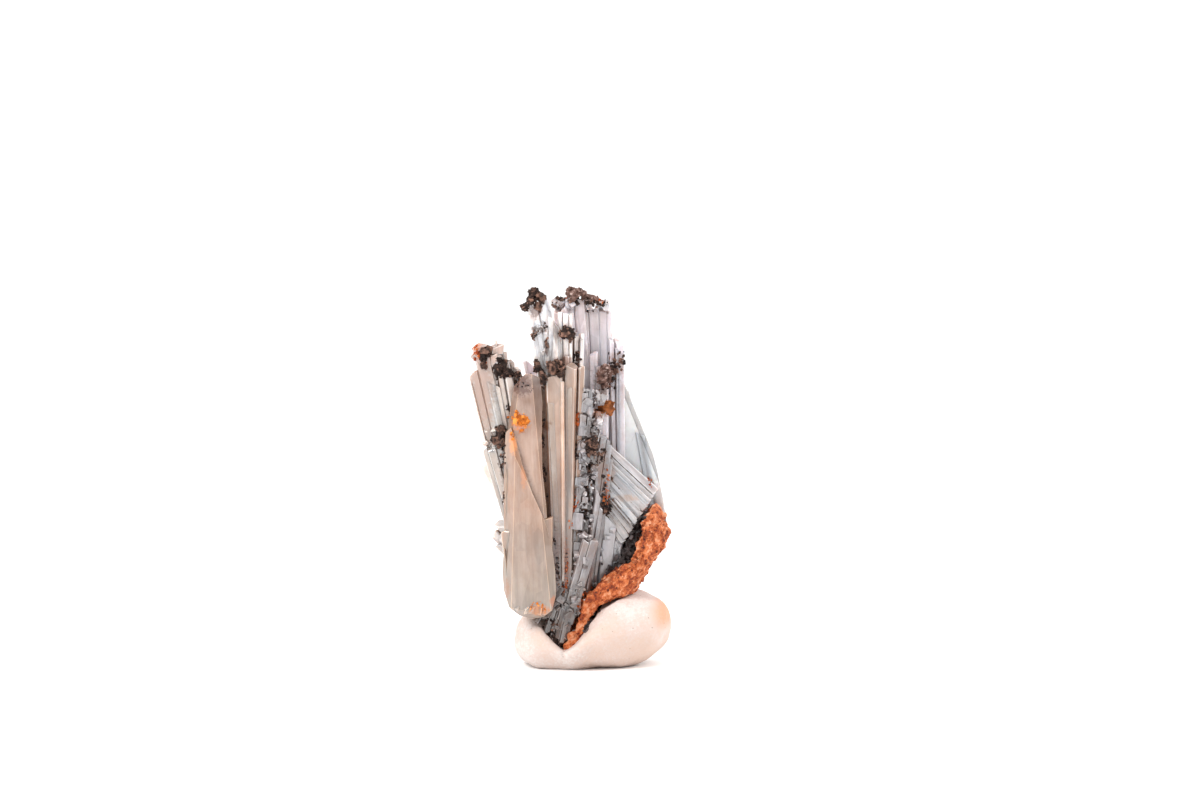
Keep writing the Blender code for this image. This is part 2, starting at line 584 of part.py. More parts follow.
def fuse(name, shapes, colour):
    """One object from shapes that overlap."""
    first, *others = shapes
    obj = object_of(name, first, colour)
    if others:
        combine(obj, others, "UNION")
    return obj


def reach_of(points):
    """The box round some points, as its lowest and its highest corner."""
    columns = list(zip(*points))
    return Vector(map(min, columns)), Vector(map(max, columns))


def fit(obj, *neighbours):
    """Cuts an object back so that a gap stays open to the neighbours' parts."""
    low, high = reach_of([vertex.co for vertex in obj.data.vertices])
    cutters = []
    for shape in (part for parts in neighbours for part in parts(GAP)):
        part_low, part_high = reach_of([vertex.co for vertex in shape.verts])
        apart = any(part_low[axis] > high[axis] or part_high[axis] < low[axis] for axis in range(3))
        if apart:
            shape.free()
        else:
            cutters.append(shape)
    if cutters:
        combine(obj, cutters, "DIFFERENCE")


def main():
    clear_scene()
    fuse("barite_core", core_parts(), "grey")
    fit(fuse("barite_front_blade", front_parts(), "honey"), core_parts)
    fit(fuse("barite_left_spray", left_parts(), "grey"), front_parts, core_parts)
    fit(fuse("barite_right_blade", right_parts(), "clear"), core_parts)
    fit(fuse("barite_striated_fan", fan_parts(), "fan"), core_parts, right_parts)
    fit(fuse("barite_rear_left_blades", rear_left_parts(), "grey"), core_parts, front_parts, left_parts)
    crystals = (front_parts, core_parts, left_parts, right_parts, fan_parts, rear_left_parts)
    for crust in CRUSTS:
        fit(fuse(crust.name, crust_parts(crust), crust.colour), *crystals)
    pocket = next(crust for crust in CRUSTS if crust.name == POCKET)
    matrix = fuse("limonite_matrix", matrix_parts(), "limonite")
    fit(matrix, partial(crust_parts, pocket), *crystals)
    fit(fuse("putty_rest", putty_parts(), "putty"), matrix_parts, *crystals)
    for obj in bpy.data.objects:
        obj.data.transform(Matrix.Scale(MM, 4))


main()
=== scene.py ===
"""The dressed barite specimen: bladed crystals on an iron-oxide matrix, stood in a lump of putty.

Sizes and places are in millimetres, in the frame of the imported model: +X is the specimen's right,
-Y its front and +Z up, from the middle of the putty's flat foot. MM turns them into metres.
"""

from __future__ import annotations

import json
import logging
import math
from collections.abc import Iterable, Iterator, Mapping, Sequence
from dataclasses import dataclass
from enum import Enum
from itertools import pairwise
from random import Random
from typing import Any

import bmesh
import bpy
from bmesh.types import BMEdge, BMesh
from bpy.types import ID, Material, Mesh, NodeSocket, Object, World
from mathutils import Matrix, Vector, noise
from mathutils.bvhtree import BVHTree

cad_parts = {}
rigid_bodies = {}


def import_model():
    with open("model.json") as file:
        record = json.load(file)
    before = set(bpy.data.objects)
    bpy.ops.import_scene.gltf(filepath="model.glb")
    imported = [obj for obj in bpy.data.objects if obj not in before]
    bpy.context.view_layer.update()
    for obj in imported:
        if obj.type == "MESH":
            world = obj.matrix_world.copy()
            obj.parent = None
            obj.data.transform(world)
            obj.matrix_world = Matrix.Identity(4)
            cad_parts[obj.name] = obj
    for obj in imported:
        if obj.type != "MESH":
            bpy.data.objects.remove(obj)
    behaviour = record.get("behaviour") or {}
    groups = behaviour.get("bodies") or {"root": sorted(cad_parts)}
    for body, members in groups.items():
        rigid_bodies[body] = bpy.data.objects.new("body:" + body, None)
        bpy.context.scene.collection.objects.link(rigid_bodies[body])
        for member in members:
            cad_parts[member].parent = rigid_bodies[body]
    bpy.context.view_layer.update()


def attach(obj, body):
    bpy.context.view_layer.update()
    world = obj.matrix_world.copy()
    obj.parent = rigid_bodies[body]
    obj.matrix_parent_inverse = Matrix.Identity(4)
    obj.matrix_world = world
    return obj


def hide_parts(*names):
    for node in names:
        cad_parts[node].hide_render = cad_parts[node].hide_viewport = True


Pair = tuple[float, float]
Triple = tuple[float, float, float]

LOG = logging.getLogger("barite")
MM = 0.001
BODY = "root"

VIEW_TILT = math.radians(5.0)  # how far above level the camera looks from
VIEW_DISTANCE = 450.0
VIEW_CENTRE = Vector((2.7, 0.0, 36.1))  # where the camera looks
LENS, SENSOR = 100.0, 36.0

SHARP = math.radians(20)  # edges sharper than this are bevelled
BROAD = 0.97  # a plate's face counts as broad when it looks this squarely to the front or back
FAR = 40.0  # well outside the specimen


# ------------------------------------------------------------------ colours and nodes


def linear_rgb(code: str) -> tuple[float, ...]:
    """Turns an sRGB hex code into a linear colour.

    Args:
        code: Six hex digits after a hash sign.

    Returns:
        Linear red, green, blue and an alpha of one.
    """
    channels = [int(code[index:index + 2], 16) / 255.0 for index in (1, 3, 5)]
    linear = (
        value / 12.92 if value <= 0.04045 else ((value + 0.055) / 1.055) ** 2.4 for value in channels
    )
    return *linear, 1.0


class ShaderTree:
    """The node tree of a material or a world."""

    def __init__(self, owner: Material | World) -> None:
        """Empties the owner's tree.

        Args:
            owner: The material or world.
        """
        owner.use_nodes = True
        self.tree = owner.node_tree
        self.tree.nodes.clear()

    def add(
        self, kind: str, inputs: Mapping[int | str, Any] | None = None, out: int | str = 0, **settings: Any
    ) -> NodeSocket | None:
        """Adds a node with its settings, plain values and links.

        Map Range's inputs 1 to 4 are the ends that it maps from and to. Mix's inputs 0, 6 and 7 are
        the share and the two colours, and its output 2 is their mix.

        Args:
            kind: The node's type name without the ShaderNode in front.
            inputs: Input sockets, each with a value, a hex colour or the output that feeds it.
            out: The output that is wanted.
            settings: Properties of the node itself.

        Returns:
            The wanted output, if the node has any.
        """
        node = self.tree.nodes.new(f"ShaderNode{kind}")
        for name, value in settings.items():
            setattr(node, name, value)
        for key, value in (inputs or {}).items():
            if isinstance(value, NodeSocket):
                self.tree.links.new(value, node.inputs[key])
            else:
                node.inputs[key].default_value = linear_rgb(value) if isinstance(value, str) else value
        return node.outputs[out] if node.outputs else None

    def place(self) -> NodeSocket:
        """Gives the place on the object in millimetres."""
        metres = self.add("TexCoord", out="Object")
        return self.add("VectorMath", {0: metres, 1: (1 / MM,) * 3}, operation="MULTIPLY")

    def graded(self, share: NodeSocket, stops: Iterable[tuple[float, str]]) -> NodeSocket:
        """Turns a share into a colour.

        Args:
            share: A value from 0 to 1.
            stops: Places from 0 to 1, each with its hex colour.

        Returns:
            The colour.
        """
        colour = self.add("ValToRGB", {0: share})
        elements = colour.node.color_ramp.elements
        while len(elements) > 1:
            elements.remove(elements[-1])
        for index, (place, code) in enumerate(stops):
            element = elements.new(place) if index else elements[0]
            element.position, element.color = place, linear_rgb(code)
        return colour

    def cover(self, colour: NodeSocket, *layers: tuple[NodeSocket, str]) -> NodeSocket:
        """Lays colours over one another.

        Args:
            colour: The colour underneath.
            layers: Masks from 0 to 1, each with its hex colour, from the lowest up.

        Returns:
            The new colour.
        """
        for mask, code in layers:
            colour = self.add("Mix", {0: mask, 6: colour, 7: code}, 2, data_type="RGBA")
        return colour


# ------------------------------------------------------------------ finishes


@dataclass(frozen=True)
class Finish:
    """What a surface is made of."""

    name: str

    def material(self) -> Material:
        """Builds the material.

        Returns:
            The material.
        """
        material = bpy.data.materials.new(self.name)
        tree = ShaderTree(material)
        tree.add("OutputMaterial", self.paint(tree))
        return material

    def paint(self, tree: ShaderTree) -> dict[str, NodeSocket]:
        """Adds the nodes; each finish has its own.

        Args:
            tree: The material's tree.

        Returns:
            What feeds the material's output.
        """
        raise NotImplementedError


@dataclass(frozen=True)
class Stain:
    """A patch of colour, soft at its edge and frayed by noise."""

    centre: Triple
    reach: Triple
    code: str
    strength: float = 1.0
    fray: float = 1.8
    edge: Pair = (1.9, 1.4)  # from where it starts to where it is full

    def layer(self, tree: ShaderTree, place: NodeSocket, breakup: NodeSocket) -> tuple[NodeSocket, str]:
        """Finds where the stain lies.

        Args:
            tree: The material's tree.
            place: The place in mm.
            breakup: Noise that frays the edge.

        Returns:
            Its mask and its colour.
        """
        away = tree.add("VectorMath", {0: place, 1: self.centre}, operation="SUBTRACT")
        away = tree.add("VectorMath", {0: away, 1: self.reach}, operation="DIVIDE")
        away = tree.add("VectorMath", {0: away}, "Value", operation="LENGTH")
        frayed = tree.add("Math", {0: breakup, 1: self.fray, 2: away}, operation="MULTIPLY_ADD")
        start, full = self.edge
        return tree.add("MapRange", {"Value": frayed, 1: start, 2: full, 4: self.strength}), self.code


@dataclass(frozen=True)
class CrystalFinish(Finish):
    """Barite: a heavy glassy mineral, cleaved into plates, milky with inclusions.

    The surface is glossy, with faint growth lines along each blade and gentle waves; the body lets
    some light through, is broken up by cleavage into lighter and darker blocks, and carries veils of
    fine bubbles. Iron oxide lies in the seams. The crevices are darkened where ambient occlusion finds
    them, dirt and painted shade together, and the bevelled rims get a painted highlight, which is
    painted edge shade where the rim colour is dark.
    """

    tints: tuple[tuple[float, str], ...]  # height in mm and colour, from the foot up
    veil: str = "#efeae7"
    veil_amount: float = 0.4
    veil_size: float = 3.0
    clarity: float = 0.12
    milk: float = 0.65  # share of the light that scatters inside before it leaves
    milk_depth: float = 0.9
    roughness: float = 0.2
    haze: str = "#d9c2ae"
    absorption: float = 0.0
    growth_spacing: float = 0.4  # real lines are near 0.05 mm; drawn coarser so that they show
    growth_relief: float = 0.12
    growth_contrast: float = 0.07
    block_contrast: float = 0.12
    block_size: Triple = (1.1, 1.1, 3.6)
    streak_width: float = 0.9
    streak_contrast: float = 0.1
    stretch: Pair = (0.04, 0.07)  # how thin growth lines and streaks are for their length
    # painted highlight on the bevelled rims; a dark colour here makes it painted edge shade
    painted_rim: str = "#ffffff"
    painted_rim_amount: float = 0.32
    # the crevices that ambient occlusion finds are darkened to this colour: dirt and painted shade together
    dirt_and_shade: str = "#5b4137"
    dirt_and_shade_amount: float = 0.85
    crevice: float = 1.7  # how wide a gap may be to count as a crevice that holds dirt and painted shade
    dust: str = "#93694f"
    dust_amount: float = 0.3
    stains: tuple[Stain, ...] = ()

    def paint(self, tree: ShaderTree) -> dict[str, NodeSocket]:
        """Adds the body, its gloss and relief, and the haze inside where there is one.

        Args:
            tree: The material's tree.

        Returns:
            What feeds the material's output.
        """
        place = tree.place()
        grain = tree.add("Attribute", out="Vector", attribute_name="grain")
        growth = self._lines(tree, grain, self.growth_spacing, self.stretch[0], Detail=3.0, Roughness=0.6)
        colour = self._deposits(tree, self._body_colour(tree, place, grain, growth), place)
        rough = tree.add("MapRange", {"Value": growth, 3: self.roughness * 0.7, 4: self.roughness * 1.5})
        waves = tree.add("TexNoise", {"Vector": grain, "Scale": 0.35, "Detail": 1.0})
        wavy = tree.add("Bump", {"Strength": 0.25, "Distance": 0.6 * MM, "Height": waves})
        relief = {"Strength": self.growth_relief, "Distance": 0.08 * MM, "Height": growth, "Normal": wavy}
        ends = {"Surface": tree.add("BsdfPrincipled", {
            "Base Color": colour, "Roughness": rough, "IOR": 1.64, "Normal": tree.add("Bump", relief),
            "Transmission Weight": self.clarity, "Subsurface Weight": self.milk,
            "Subsurface Radius": (1.0, 0.8, 0.65), "Subsurface Scale": self.milk_depth * MM,
            "Coat Weight": 0.7, "Coat Roughness": 0.06, "Coat Normal": wavy,
        })}
        if self.absorption:
            haze = {"Color": self.haze, "Density": self.absorption / MM}
            ends["Volume"] = tree.add("VolumeAbsorption", haze)
        return ends

    def _lines(
        self, tree: ShaderTree, grain: NodeSocket, spacing: float, stretch: float, **noise_inputs: float
    ) -> NodeSocket:
        """Draws noise that is long along the blade and narrow across it.

        Args:
            tree: The material's tree.
            grain: The place along each lath's own axes.
            spacing: How far apart the lines are.
            stretch: Their width over their length.
            noise_inputs: How fine the noise is.

        Returns:
            A height from 0 to 1.
        """
        across = 1.0 / spacing
        drawn = tree.add("Mapping", {"Vector": grain, "Scale": (across, across, stretch * across)})
        return tree.add("TexNoise", {"Vector": drawn, "Scale": 1.0, **noise_inputs})

    def _body_colour(
        self, tree: ShaderTree, place: NodeSocket, grain: NodeSocket, growth: NodeSocket
    ) -> NodeSocket:
        """Mixes the tint by height with veils, cleavage blocks, growth lines and the rims' painted light and
        shade.

        Args:
            tree: The material's tree.
            place: The place in mm.
            grain: The place along each lath's own axes.
            growth: The height of the growth lines.

        Returns:
            The colour of the crystal without its deposits.
        """
        height = tree.add("SeparateXYZ", {0: place}, "Z")
        foot, top = self.tints[0][0], self.tints[-1][0]
        share = tree.add("MapRange", {"Value": height, 1: foot, 2: top})
        drift = tree.add("TexNoise", {"Vector": place, "Scale": 0.25, "Detail": 2.0})
        drift = tree.add("Math", {0: drift, 1: 0.24, 2: -0.12}, operation="MULTIPLY_ADD")
        share = tree.add("Math", {0: share, 1: drift}, operation="ADD")
        tint = tree.graded(share, [((at - foot) / (top - foot), code) for at, code in self.tints])

        cloud = tree.add("Mapping", {"Vector": grain, "Scale": (1.0, 1.0, 0.35)})
        cloud = tree.add("TexNoise", {
            "Vector": cloud, "Scale": 1 / self.veil_size, "Detail": 5.0, "Roughness": 0.6,
        })
        veil = tree.add("MapRange", {"Value": cloud, 1: 0.42, 2: 0.7, 4: self.veil_amount})

        cells = tree.add("Mapping", {"Vector": grain, "Scale": tuple(1 / size for size in self.block_size)})
        blocks = tree.add("TexVoronoi", {"Vector": cells, "Scale": 1.0}, "Color")
        streaks = self._lines(tree, grain, self.streak_width, self.stretch[1], Detail=2.0)
        value = tree.add("Attribute", out="Fac", attribute_name="shade")
        for pattern, low, high, contrast in (
            (growth, 0.3, 0.7, self.growth_contrast),
            (blocks, 0.0, 1.0, self.block_contrast),
            (streaks, 0.35, 0.65, self.streak_contrast),
        ):
            spread = {"Value": pattern, 1: low, 2: high, 3: 1.0 - contrast, 4: 1.0 + contrast}
            value = tree.add("Math", {0: value, 1: tree.add("MapRange", spread)}, operation="MULTIPLY")
        toned = tree.add("HueSaturation", {"Value": value, "Color": tree.cover(tint, (veil, self.veil))})
        # the rims' painted highlight, which is painted edge shade where the rim colour is dark
        painted_rim = tree.add("Attribute", out="Fac", attribute_name="painted_rim")
        painted_rim = tree.add("Math", {0: painted_rim, 1: self.painted_rim_amount}, operation="MULTIPLY")
        return tree.cover(toned, (painted_rim, self.painted_rim))

    def _deposits(self, tree: ShaderTree, colour: NodeSocket, place: NodeSocket) -> NodeSocket:
        """Lays dust, the dirt and painted shade of the crevices, and the stains over the crystal.

        Args:
            tree: The material's tree.
            colour: The colour so far.
            place: The place in mm.

        Returns:
            The new colour.
        """
        breakup = tree.add("TexNoise", {"Vector": place, "Scale": 2.4, "Detail": 4.0, "Roughness": 0.65})
        # darkens the crevices that ambient occlusion finds: dirt and painted shade together
        hollow = tree.add("AmbientOcclusion", {"Distance": self.crevice * MM}, "AO", samples=8)
        hollow = tree.add("Math", {0: breakup, 1: -0.9, 2: hollow}, operation="MULTIPLY_ADD")
        dirt_and_shade = tree.add("MapRange", {"Value": hollow, 1: 0.24, 2: -0.1, 4: self.dirt_and_shade_amount})
        patches = tree.add("TexNoise", {"Vector": place, "Scale": 0.42, "Detail": 5.0, "Roughness": 0.72})
        dust = tree.add("MapRange", {"Value": patches, 1: 0.5, 2: 0.7, 4: self.dust_amount})
        stains = (stain.layer(tree, place, breakup) for stain in self.stains)
        return tree.cover(colour, (dust, self.dust), (dirt_and_shade, self.dirt_and_shade), *stains)


class Grit(Enum):
    """What a granular crust is made of, as its darkest, main and lightest colours."""

    UMBER = ("#0e0907", "#32211b", "#8b6757")
    OCHRE = ("#30180f", "#8a4c22", "#b87238")
    WEATHERED = ("#2b1c18", "#6f5147", "#bda59d")
    ORANGE = ("#7a3a10", "#cc701e", "#eba250")
    RUST = ("#5c2410", "#a3481f", "#cf7433")
    GOETHITE = ("#0b0807", "#2a211f", "#625858")


@dataclass(frozen=True)
class CrustFinish(Finish):
    """Iron and manganese oxide grown as dull grains, with a few faces that glint."""

    grit: Grit
    roughness: float = 0.75

    def paint(self, tree: ShaderTree) -> dict[str, NodeSocket]:
        """Adds mottled grains, each with its own tone.

        Args:
            tree: The material's tree.

        Returns:
            What feeds the material's output.
        """
        place = tree.place()
        shade = tree.add("Attribute", out="Fac", attribute_name="shade")
        mottle = tree.add("TexNoise", {"Vector": place, "Scale": 1.3, "Detail": 5.0})
        share = tree.add("Math", {0: shade, 1: mottle}, operation="MULTIPLY")
        fine = tree.add("TexNoise", {"Vector": place, "Scale": 7.0, "Detail": 4.0})
        rough = tree.add("MapRange", {"Value": fine, 3: self.roughness * 0.7, 4: self.roughness * 1.3})
        relief = tree.add("Bump", {"Strength": 0.6, "Distance": 0.08 * MM, "Height": fine})
        return {"Surface": tree.add("BsdfPrincipled", {
            "Base Color": tree.graded(share, zip((0.12, 0.42, 0.8), self.grit.value)),
            "Roughness": rough, "Normal": relief, "Specular IOR Level": 0.3,
        })}


@dataclass(frozen=True)
class LimoniteFinish(Finish):
    """Limonite: earthy hydrated iron oxide, crumbling along the band, with dark drusy pits."""

    name: str = "earthy_limonite"
    tones: tuple[str, ...] = ("#451a0e", "#9d431d", "#cf6f3a", "#edb28c")
    pit: str = "#22120e"
    lie: float = 38.0  # degrees the band leans from upright, towards the right

    def paint(self, tree: ShaderTree) -> dict[str, NodeSocket]:
        """Adds broken tones along the band, pits and crumbs.

        Args:
            tree: The material's tree.

        Returns:
            What feeds the material's output.
        """
        turn = (0.0, math.radians(self.lie), 0.0)
        along = tree.add("Mapping", {
            "Vector": tree.place(), "Rotation": turn, "Scale": (0.85, 1.0, 1.25),
        }, vector_type="TEXTURE")
        broad = tree.add("TexNoise", {"Vector": along, "Scale": 1.1, "Detail": 7.0, "Roughness": 0.7})
        shade = tree.add("Attribute", out="Fac", attribute_name="shade")
        share = tree.add("Math", {0: shade, 1: 0.3, 2: broad}, operation="MULTIPLY_ADD")
        spots = tree.add("TexVoronoi", {"Vector": along, "Scale": 1.5}, "Distance")
        frayed = tree.add("Math", {0: broad, 1: 0.9, 2: spots}, operation="MULTIPLY_ADD")
        pits = tree.add("MapRange", {"Value": frayed, 1: 0.64, 2: 0.54, 4: 0.8})
        depth = tree.add("Attribute", out="Fac", attribute_name="depth")
        sunk = tree.add("MapRange", {"Value": depth, 1: 0.15, 2: 0.7, 4: 0.8})
        pits = tree.add("Math", {0: pits, 1: sunk}, operation="MAXIMUM")
        tone = tree.graded(share, zip((0.58, 0.68, 0.78, 0.95), self.tones))
        crumbs = tree.add("TexNoise", {"Vector": along, "Scale": 3.5, "Detail": 6.0, "Roughness": 0.75})
        return {"Surface": tree.add("BsdfPrincipled", {
            "Base Color": tree.cover(tone, (pits, self.pit)), "Roughness": 0.85,
            "Normal": tree.add("Bump", {"Strength": 0.9, "Distance": 0.3 * MM, "Height": crumbs}),
        })}


@dataclass(frozen=True)
class PuttyFinish(Finish):
    """Mounting putty: a matt wax and chalk paste, pressed smooth, with a few picked-up specks."""

    name: str = "pressed_putty"
    tones: tuple[str, ...] = ("#dbd0ca", "#d3bfb6", "#d3b9aa")
    speck: str = "#8a6a55"
    stain: Stain = Stain((11.4, -1.0, 7.4), (2.6, 6.0, 2.6), "#dc9468", 0.75, 1.0, (1.5, 0.9))

    def paint(self, tree: ShaderTree) -> dict[str, NodeSocket]:
        """Adds the uneven paste, its stain and its specks.

        Args:
            tree: The material's tree.

        Returns:
            What feeds the material's output.
        """
        place = tree.place()
        broad = tree.add("TexNoise", {"Vector": place, "Scale": 0.16, "Detail": 3.0})
        fine = tree.add("TexNoise", {"Vector": place, "Scale": 2.6, "Detail": 6.0, "Roughness": 0.75})
        share = tree.add("Math", {0: broad, 1: fine}, operation="ADD")
        share = tree.add("MapRange", {"Value": share, 1: 0.72, 2: 1.28})
        cells = tree.add("TexVoronoi", {"Vector": place, "Scale": 0.75}, "Distance")
        specks = tree.add("MapRange", {"Value": cells, 1: 0.085, 2: 0.05, 4: 0.7})
        paste = tree.graded(share, zip((0.15, 0.5, 0.85), self.tones))
        stain = self.stain.layer(tree, place, fine)
        return {"Surface": tree.add("BsdfPrincipled", {
            "Base Color": tree.cover(paste, stain, (specks, self.speck)), "Roughness": 0.72,
            "Normal": tree.add("Bump", {"Strength": 0.7, "Distance": 0.22 * MM, "Height": fine}),
        })}


@dataclass(frozen=True)
class TableFinish(Finish):
    """White coated board, the plain surface that the specimen stands on."""

    name: str = "white_board"
    code: str = "#fbfbfb"

    def paint(self, tree: ShaderTree) -> dict[str, NodeSocket]:
        """Adds a plain matt white.

        Args:
            tree: The material's tree.

        Returns:
            What feeds the material's output.
        """
        return {"Surface": tree.add("BsdfPrincipled", {"Base Color": self.code, "Roughness": 0.9})}


# ------------------------------------------------------------------ mesh helpers


def place_object(name: str, data: ID) -> Object:
    """Makes an object and puts it in the scene.

    Args:
        name: Its name.
        data: Its mesh, light or camera.

    Returns:
        The object.
    """
    made = bpy.data.objects.new(name, data)
    bpy.context.scene.collection.objects.link(made)
    return made


def into_mesh(name: str, shape: BMesh) -> Mesh:
    """Turns a shape into a mesh and frees it.

    Args:
        name: The mesh's name.
        shape: The shape.

    Returns:
        The mesh.
    """
    mesh = bpy.data.meshes.new(name)
    shape.to_mesh(mesh)
    shape.free()
    return mesh


def append_shape(target: BMesh, shape: BMesh) -> None:
    """Adds a shape's geometry and attributes to another shape and frees it.

    Args:
        target: The shape that grows.
        shape: The shape that is added.
    """
    mesh = into_mesh("part", shape)
    target.from_mesh(mesh)
    bpy.data.meshes.remove(mesh)


def settle(name: str, shape: BMesh, finish: Finish, slot: str, *nodes: str) -> Object:
    """Makes a piece of a shape in millimetres and hides the solids that it replaces.

    Args:
        name: The piece's name.
        shape: The shape, which is freed.
        finish: The piece's only finish.
        slot: The record's material slot; not used.
        nodes: The solids that it replaces, if any.

    Returns:
        The finished piece.
    """
    shape.transform(Matrix.Scale(MM, 4))
    piece = place_object(name, into_mesh(name, shape))
    piece.data.materials.append(finish.material())
    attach(piece, BODY)
    if nodes:
        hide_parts(*nodes)
    LOG.info("%s: %d faces", piece.name, len(piece.data.polygons))
    return piece


def clip(shape: BMesh, point: Sequence[float], outward: Sequence[float]) -> None:
    """Cuts off what lies beyond a plane and closes the cut.

    Args:
        shape: The shape to cut.
        point: A point on the plane.
        outward: The way the new face looks.
    """
    cut = bmesh.ops.bisect_plane(
        shape, geom=shape.verts[:] + shape.edges[:] + shape.faces[:],
        plane_co=Vector(point), plane_no=Vector(outward), clear_outer=True,
    )
    if edges := [item for item in cut["geom_cut"] if isinstance(item, BMEdge)]:
        bmesh.ops.holes_fill(shape, edges=edges)


def soften_edges(shape: BMesh, width: float) -> None:
    """Bevels every sharp edge and marks the narrow faces as rims, for painted edge light and shade.

    Args:
        shape: The shape to bevel.
        width: How far the bevel reaches from the edge.
    """
    painted_rim = shape.faces.layers.float.get("painted_rim") or shape.faces.layers.float.new("painted_rim")
    bmesh.ops.recalc_face_normals(shape, faces=shape.faces)
    made = bmesh.ops.bevel(
        shape, geom=[edge for edge in shape.edges if edge.calc_face_angle(0.0) > SHARP], offset=width,
        offset_type="OFFSET", segments=1, profile=0.5, affect="EDGES", clamp_overlap=True, material=-1,
    )
    for face in made["faces"]:
        face[painted_rim] = 1.0


def tone_faces(shape: BMesh, shade: float, uneven: float, rng: Random) -> None:
    """Gives each face of a shape its own tone.

    Args:
        shape: The shape.
        shade: The mean tone, near one.
        uneven: How much the faces differ.
        rng: The source of chance.
    """
    tone = shape.faces.layers.float.get("shade") or shape.faces.layers.float.new("shade")
    for face in shape.faces:
        face[tone] = shade * rng.uniform(1.0 - uneven, 1.0 + uneven)


def mark_grain(shape: BMesh, shade: float, uneven: float, rng: Random) -> None:
    """Keeps each vertex's present place, which growth lines follow, and tones the faces.

    Args:
        shape: The shape, still upright in its own axes.
        shade: How light the shape is, near one.
        uneven: How much its faces differ in tone.
        rng: The source of chance.
    """
    grain = shape.verts.layers.float_vector.new("grain")
    shift = Vector(rng.uniform(-50, 50) for _ in range(3))
    for vertex in shape.verts:
        vertex[grain] = vertex.co + shift
    tone_faces(shape, shade, uneven, rng)


def frame_along(root: Vector, tip: Vector, facing: float) -> Matrix:
    """Gives the placement of a blade.

    Args:
        root: Where it starts.
        tip: Where it ends.
        facing: Degrees its broad face is turned from the front towards the right.

    Returns:
        A matrix from the blade's own axes, X across, -Y out of its face and Z along it.
    """
    along = (tip - root).normalized()
    turn = math.radians(facing)
    front = Vector((math.sin(turn), -math.cos(turn), 0.0))
    front = (front - along * front.dot(along)).normalized()
    place = Matrix((along.cross(front), -front, along)).transposed().to_4x4()
    place.translation = root
    return place


# ------------------------------------------------------------------ grains


def pick_size(sizes: Pair, rng: Random) -> float:
    """Picks a grain's size, small ones more often.

    Args:
        sizes: The smallest and the largest.
        rng: The source of chance.

    Returns:
        The size in mm.
    """
    small, large = sizes
    return small + (large - small) * rng.random() ** 2


def grain_shape(size: float, rng: Random) -> BMesh:
    """Makes one small equant crystal: a block with corners cut off, turned at random.

    Args:
        size: The grain's size.
        rng: The source of chance.

    Returns:
        The grain, round the origin.
    """
    grain = bmesh.new()
    bmesh.ops.create_cube(grain, size=size)
    stretch = (rng.uniform(0.4, 1.2), rng.uniform(0.6, 1.2), rng.uniform(0.7, 1.4))
    bmesh.ops.scale(grain, vec=stretch, verts=grain.verts)
    for _ in range(2):
        outward = Vector(rng.uniform(-1, 1) for _ in range(3)).normalized()
        clip(grain, outward * size * rng.uniform(0.26, 0.42), outward)
    bmesh.ops.recalc_face_normals(grain, faces=grain.faces)
    axis = Vector(rng.uniform(-1, 1) for _ in range(3))
    grain.transform(Matrix.Rotation(rng.uniform(0, math.tau), 4, axis))
    return grain


def add_grain(target: BMesh, centre: Vector, size: float, rng: Random) -> None:
    """Adds one grain of oxide.

    Args:
        target: The crust's mesh.
        centre: The grain's middle.
        size: The grain's size.
        rng: The crust's source of chance.
    """
    grain = grain_shape(size, rng)
    tone_faces(grain, rng.uniform(0.5, 1.3), 0.25, rng)
    grain.transform(Matrix.Translation(centre))
    append_shape(target, grain)


# ------------------------------------------------------------------ crystals


class Tip(Enum):
    """How a lath ends."""

    BROKEN = "a few rough facets"
    SQUARE = "one nearly level cleavage face"


